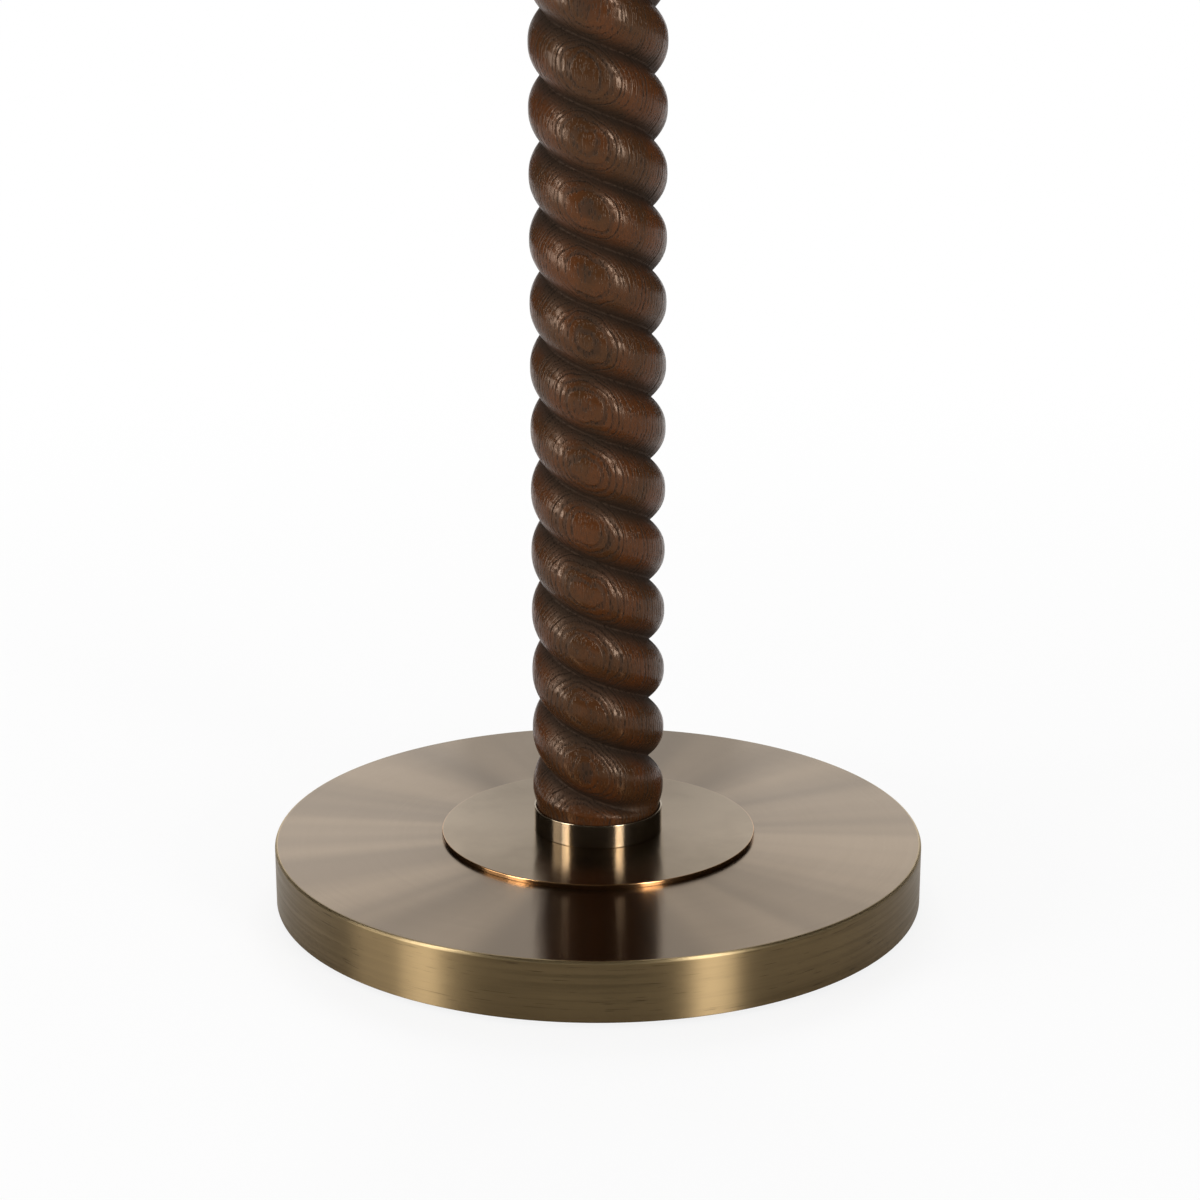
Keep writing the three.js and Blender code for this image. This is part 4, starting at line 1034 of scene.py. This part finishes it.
def shade_pieces():
    """Linen cover and its trim bands, the two wire rings, the spider and the finial."""
    fabric = {
        "cover": cone_band(SHADE_BOTTOM, SHADE_TOP, inner=-1.0, outer=0.0, edge=0.3),
        "trim_top": cone_band(SHADE_TOP - TRIM_WIDTH, SHADE_TOP, 0.05, 0.9, edge=0.25),
        "trim_bottom": cone_band(SHADE_BOTTOM, SHADE_BOTTOM + TRIM_WIDTH, 0.05, 0.9, edge=0.25),
    }
    for name, outline in fabric.items():
        flat_pattern(piece(name, turned(outline, 256), LINEN, "linen", "shade", f"shade_{name}"))
    wire = 1.8
    for end, radius, height in (("top", 186.9, SHADE_TOP - wire), ("bottom", 211.58, SHADE_BOTTOM + wire)):
        ring = turned(ring_of(wire, 14) + (radius, height), 256)
        piece(f"ring_{end}", ring, ZINC, "zinc_steel", "shade", f"shade_ring_{end}")
    hole = 3.5
    washer = turned(rounded(box(hole, 14, WASHER_BOTTOM, WASHER_TOP), 0.35), 96)
    piece("washer", washer, TURNED_BRASS, "polished_brass", "shade", "spider_washer")
    for i in range(3):
        angle = np.pi / 2 + i * TAU / 3
        out, side = polar(1, angle, 0), polar(1, angle + np.pi / 2, 0)
        steps = np.linspace(0, 1, 24)[:, None]
        reach = ARM_START + steps * (ARM_END - ARM_START)
        path = reach * out + (0, 0, WASHER_TOP) + steps * (0, 0, ARM_RISE)
        arm = swept(path, side, ring_of(1.5, 16))
        piece(f"arm_{i + 1}", arm, DRAWN_BRASS, "polished_brass", "shade", f"spider_arm_{i + 1}")
    knob = arc(0, FINIAL_CENTRE, 9.5, 9.5, -60, 90, 28)
    knob[-1, 0] = 0
    foot, waist, z = 8, 5, FINIAL_BOTTOM
    stem = rounded(
        [(hole, z), (foot, z), (foot, z + 2.6), (waist, z + 5.6), (waist, z + 14.2), (4.5, z + 14.3)],
        [0.2, 0.5, 0.9, 1.2, 0.1, 0.1],
    )
    # The last corner's seven points only guide the arc before them
    outline = np.vstack([stem[:-7], knob, [(0, STUD_TOP + 0.3), (hole, STUD_TOP + 0.3)]])
    piece("finial_knob", turned(outline, 96), TURNED_BRASS, "polished_brass", "top_finial", "finial")


base_pieces()
column_pieces()
harp_pieces()
lampholder_pieces()
piece("turn_knob", switch_knob(), BLACK, "black_plastic", "switch", "switch_knob")
bulb_pieces()
shade_pieces()

# Solids that keep their CAD shape, by their finish
CARRIED_OVER = {
    ZINC: ["base_cover", "cover_screw_1", "cover_screw_2", "cover_screw_3", "rod_nut", "spring_washer"]
    + ["rod_washer", "switch_spindle"],
    THREAD: ["threaded_rod"],
    IRON: ["base_weight"],
    BOARD: ["socket_liner"],
    BLACK: ["socket_insulator"],
    DRAWN_BRASS: ["centre_contact", "live_terminal"],
    NICKEL: ["neutral_terminal"],
}
for material, names in CARRIED_OVER.items():
    for name in names:
        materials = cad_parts[name].data.materials
        materials.clear()
        materials.append(material)


# Studio


def seen_directly(tree):
    """1 for rays from the camera, from a glossy surface and through glass, and 0 for the rest."""
    path = node(tree, "ShaderNodeLightPath")
    first = calc("MAXIMUM", path["Is Camera Ray"], path["Is Glossy Ray"])
    return calc("MAXIMUM", first, path["Is Transmission Ray"])


def floor():
    """Pale floor that keeps the lamp's shadow and passes into the white background. Close to the
    lamp, what brass mirrors of it is nearer to its own shaded tone."""
    bpy.ops.mesh.primitive_circle_add(
        vertices=128, radius=FLOOR_RADIUS, fill_type="NGON", location=(0, 0, -FLOOR_GAP)
    )
    made = bpy.context.object
    made.name = "floor"
    material, tree, _ = new_material("floor")
    tree.nodes.clear()
    *_, radius = place(tree)
    matt = node(tree, "ShaderNodeBsdfDiffuse", {"Color": (0.86, 0.86, 0.86, 1)})[0]
    white = node(tree, "ShaderNodeEmission", {"Color": (1, 1, 1, 1)})[0]
    mirrored = node(tree, "ShaderNodeLightPath")["Is Glossy Ray"]
    share = seen_directly(tree) * band(radius, 0.2, 1.4, 0.84 - mirrored * 0.79, 1.0)
    mixed = node(tree, "ShaderNodeMixShader", {0: share, 1: matt, 2: white})[0]
    node(tree, "ShaderNodeOutputMaterial", {0: mixed})
    made.data.materials.append(material)


def dark_card():
    """Curved dark card round the front and sides and over the top, out of the camera's sight, that
    brass and lacquer mirror between the soft boxes: (r sin a, -r cos a, h) for angles a from side
    to side, with r falling and h rising over the top."""
    a = np.radians(np.linspace(-CARD_ANGLE, CARD_ANGLE, 64))[None, :]
    r, h = np.array([CARD_RADII, CARD_HEIGHTS])[:, :, None]
    points = np.stack([r * np.sin(a), -r * np.cos(a), h + 0 * a], -1)
    mesh = bpy.data.meshes.new("dark_card")
    mesh.from_pydata(points.reshape(-1, 3), [], grid_faces(3, 64, False, False).tolist())
    card = add_object("dark_card", mesh)
    material, *_ = new_material("dark_card", Base_Color=(0.04, 0.035, 0.031, 1), Roughness=1.0)
    mesh.materials.append(material)
    for rays in ("camera", "diffuse", "transmission", "shadow"):
        setattr(card, f"visible_{rays}", False)


def soft_box(label, azimuth, distance, height, width, tall, radiance, tip=0.0, use="both"):
    """Area light at that azimuth from the front, turned towards the lamp's axis and tipped down.
    Its power is its radiance times pi times its area. The camera doesn't see it. Its use is to
    light the lamp, to be mirrored in it, or both."""
    name = "soft_box_" + label
    data = bpy.data.lights.new(name, "AREA")
    data.shape = "RECTANGLE"
    data.size, data.size_y = width, tall
    data.energy = radiance * np.pi * width * tall
    light = add_object(name, data)
    a = np.radians(azimuth)
    light.location = (distance * np.sin(a), -distance * np.cos(a), height)
    light.rotation_euler = (np.pi / 2 - np.radians(tip), 0, a)
    light.visible_camera = False
    light.visible_glossy = use != "light"
    light.visible_diffuse = use != "mirror"


def studio():
    """Floor, dark card and soft boxes, white surroundings that light the lamp more weakly than they
    look, and the camera."""
    floor()
    dark_card()
    soft_box("left", -60, 2.4, 0.5, 0.6, 0.9, 16.5)
    soft_box("far_left", -78, 2.4, 0.5, 0.75, 0.9, 5.5)
    soft_box("right", 38, 2.4, 0.5, 0.58, 0.9, 18.0)
    soft_box("high_left", -59.5, 2.2, 1.8, 0.35, 1.1, 24.0, tip=33, use="mirror")
    soft_box("high_right", 38, 2.2, 1.8, 0.35, 1.1, 24.0, tip=33, use="mirror")
    soft_box("rear_left", -164, 3.2, 1.15, 1.3, 0.75, 0.55, tip=20)
    soft_box("rear_right", 164, 3.2, 1.15, 1.3, 0.75, 0.5, tip=20)
    soft_box("high_rear", 180, 2.6, 2.6, 2.0, 1.6, 5.0, tip=35, use="light")
    world = bpy.data.worlds.new("studio")
    bpy.context.scene.world = world
    world.use_nodes = True
    tree = world.node_tree
    tree.nodes.clear()
    fill = node(tree, "ShaderNodeBackground", {"Color": (1, 1, 1, 1), "Strength": FILL_LIGHT})[0]
    white = node(tree, "ShaderNodeBackground", {"Color": (1, 1, 1, 1)})[0]
    mixed = node(tree, "ShaderNodeMixShader", {0: seen_directly(tree), 1: fill, 2: white})[0]
    node(tree, "ShaderNodeOutputWorld", {0: mixed})
    camera = add_object("camera", bpy.data.cameras.new("camera"))
    camera.data.lens = CAMERA_LENS
    camera.location = CAMERA_PLACE
    camera.rotation_euler = (np.pi / 2 - CAMERA_TILT, 0, 0)
    bpy.context.scene.camera = camera
    bpy.context.scene.view_settings.view_transform = "Standard"


studio()
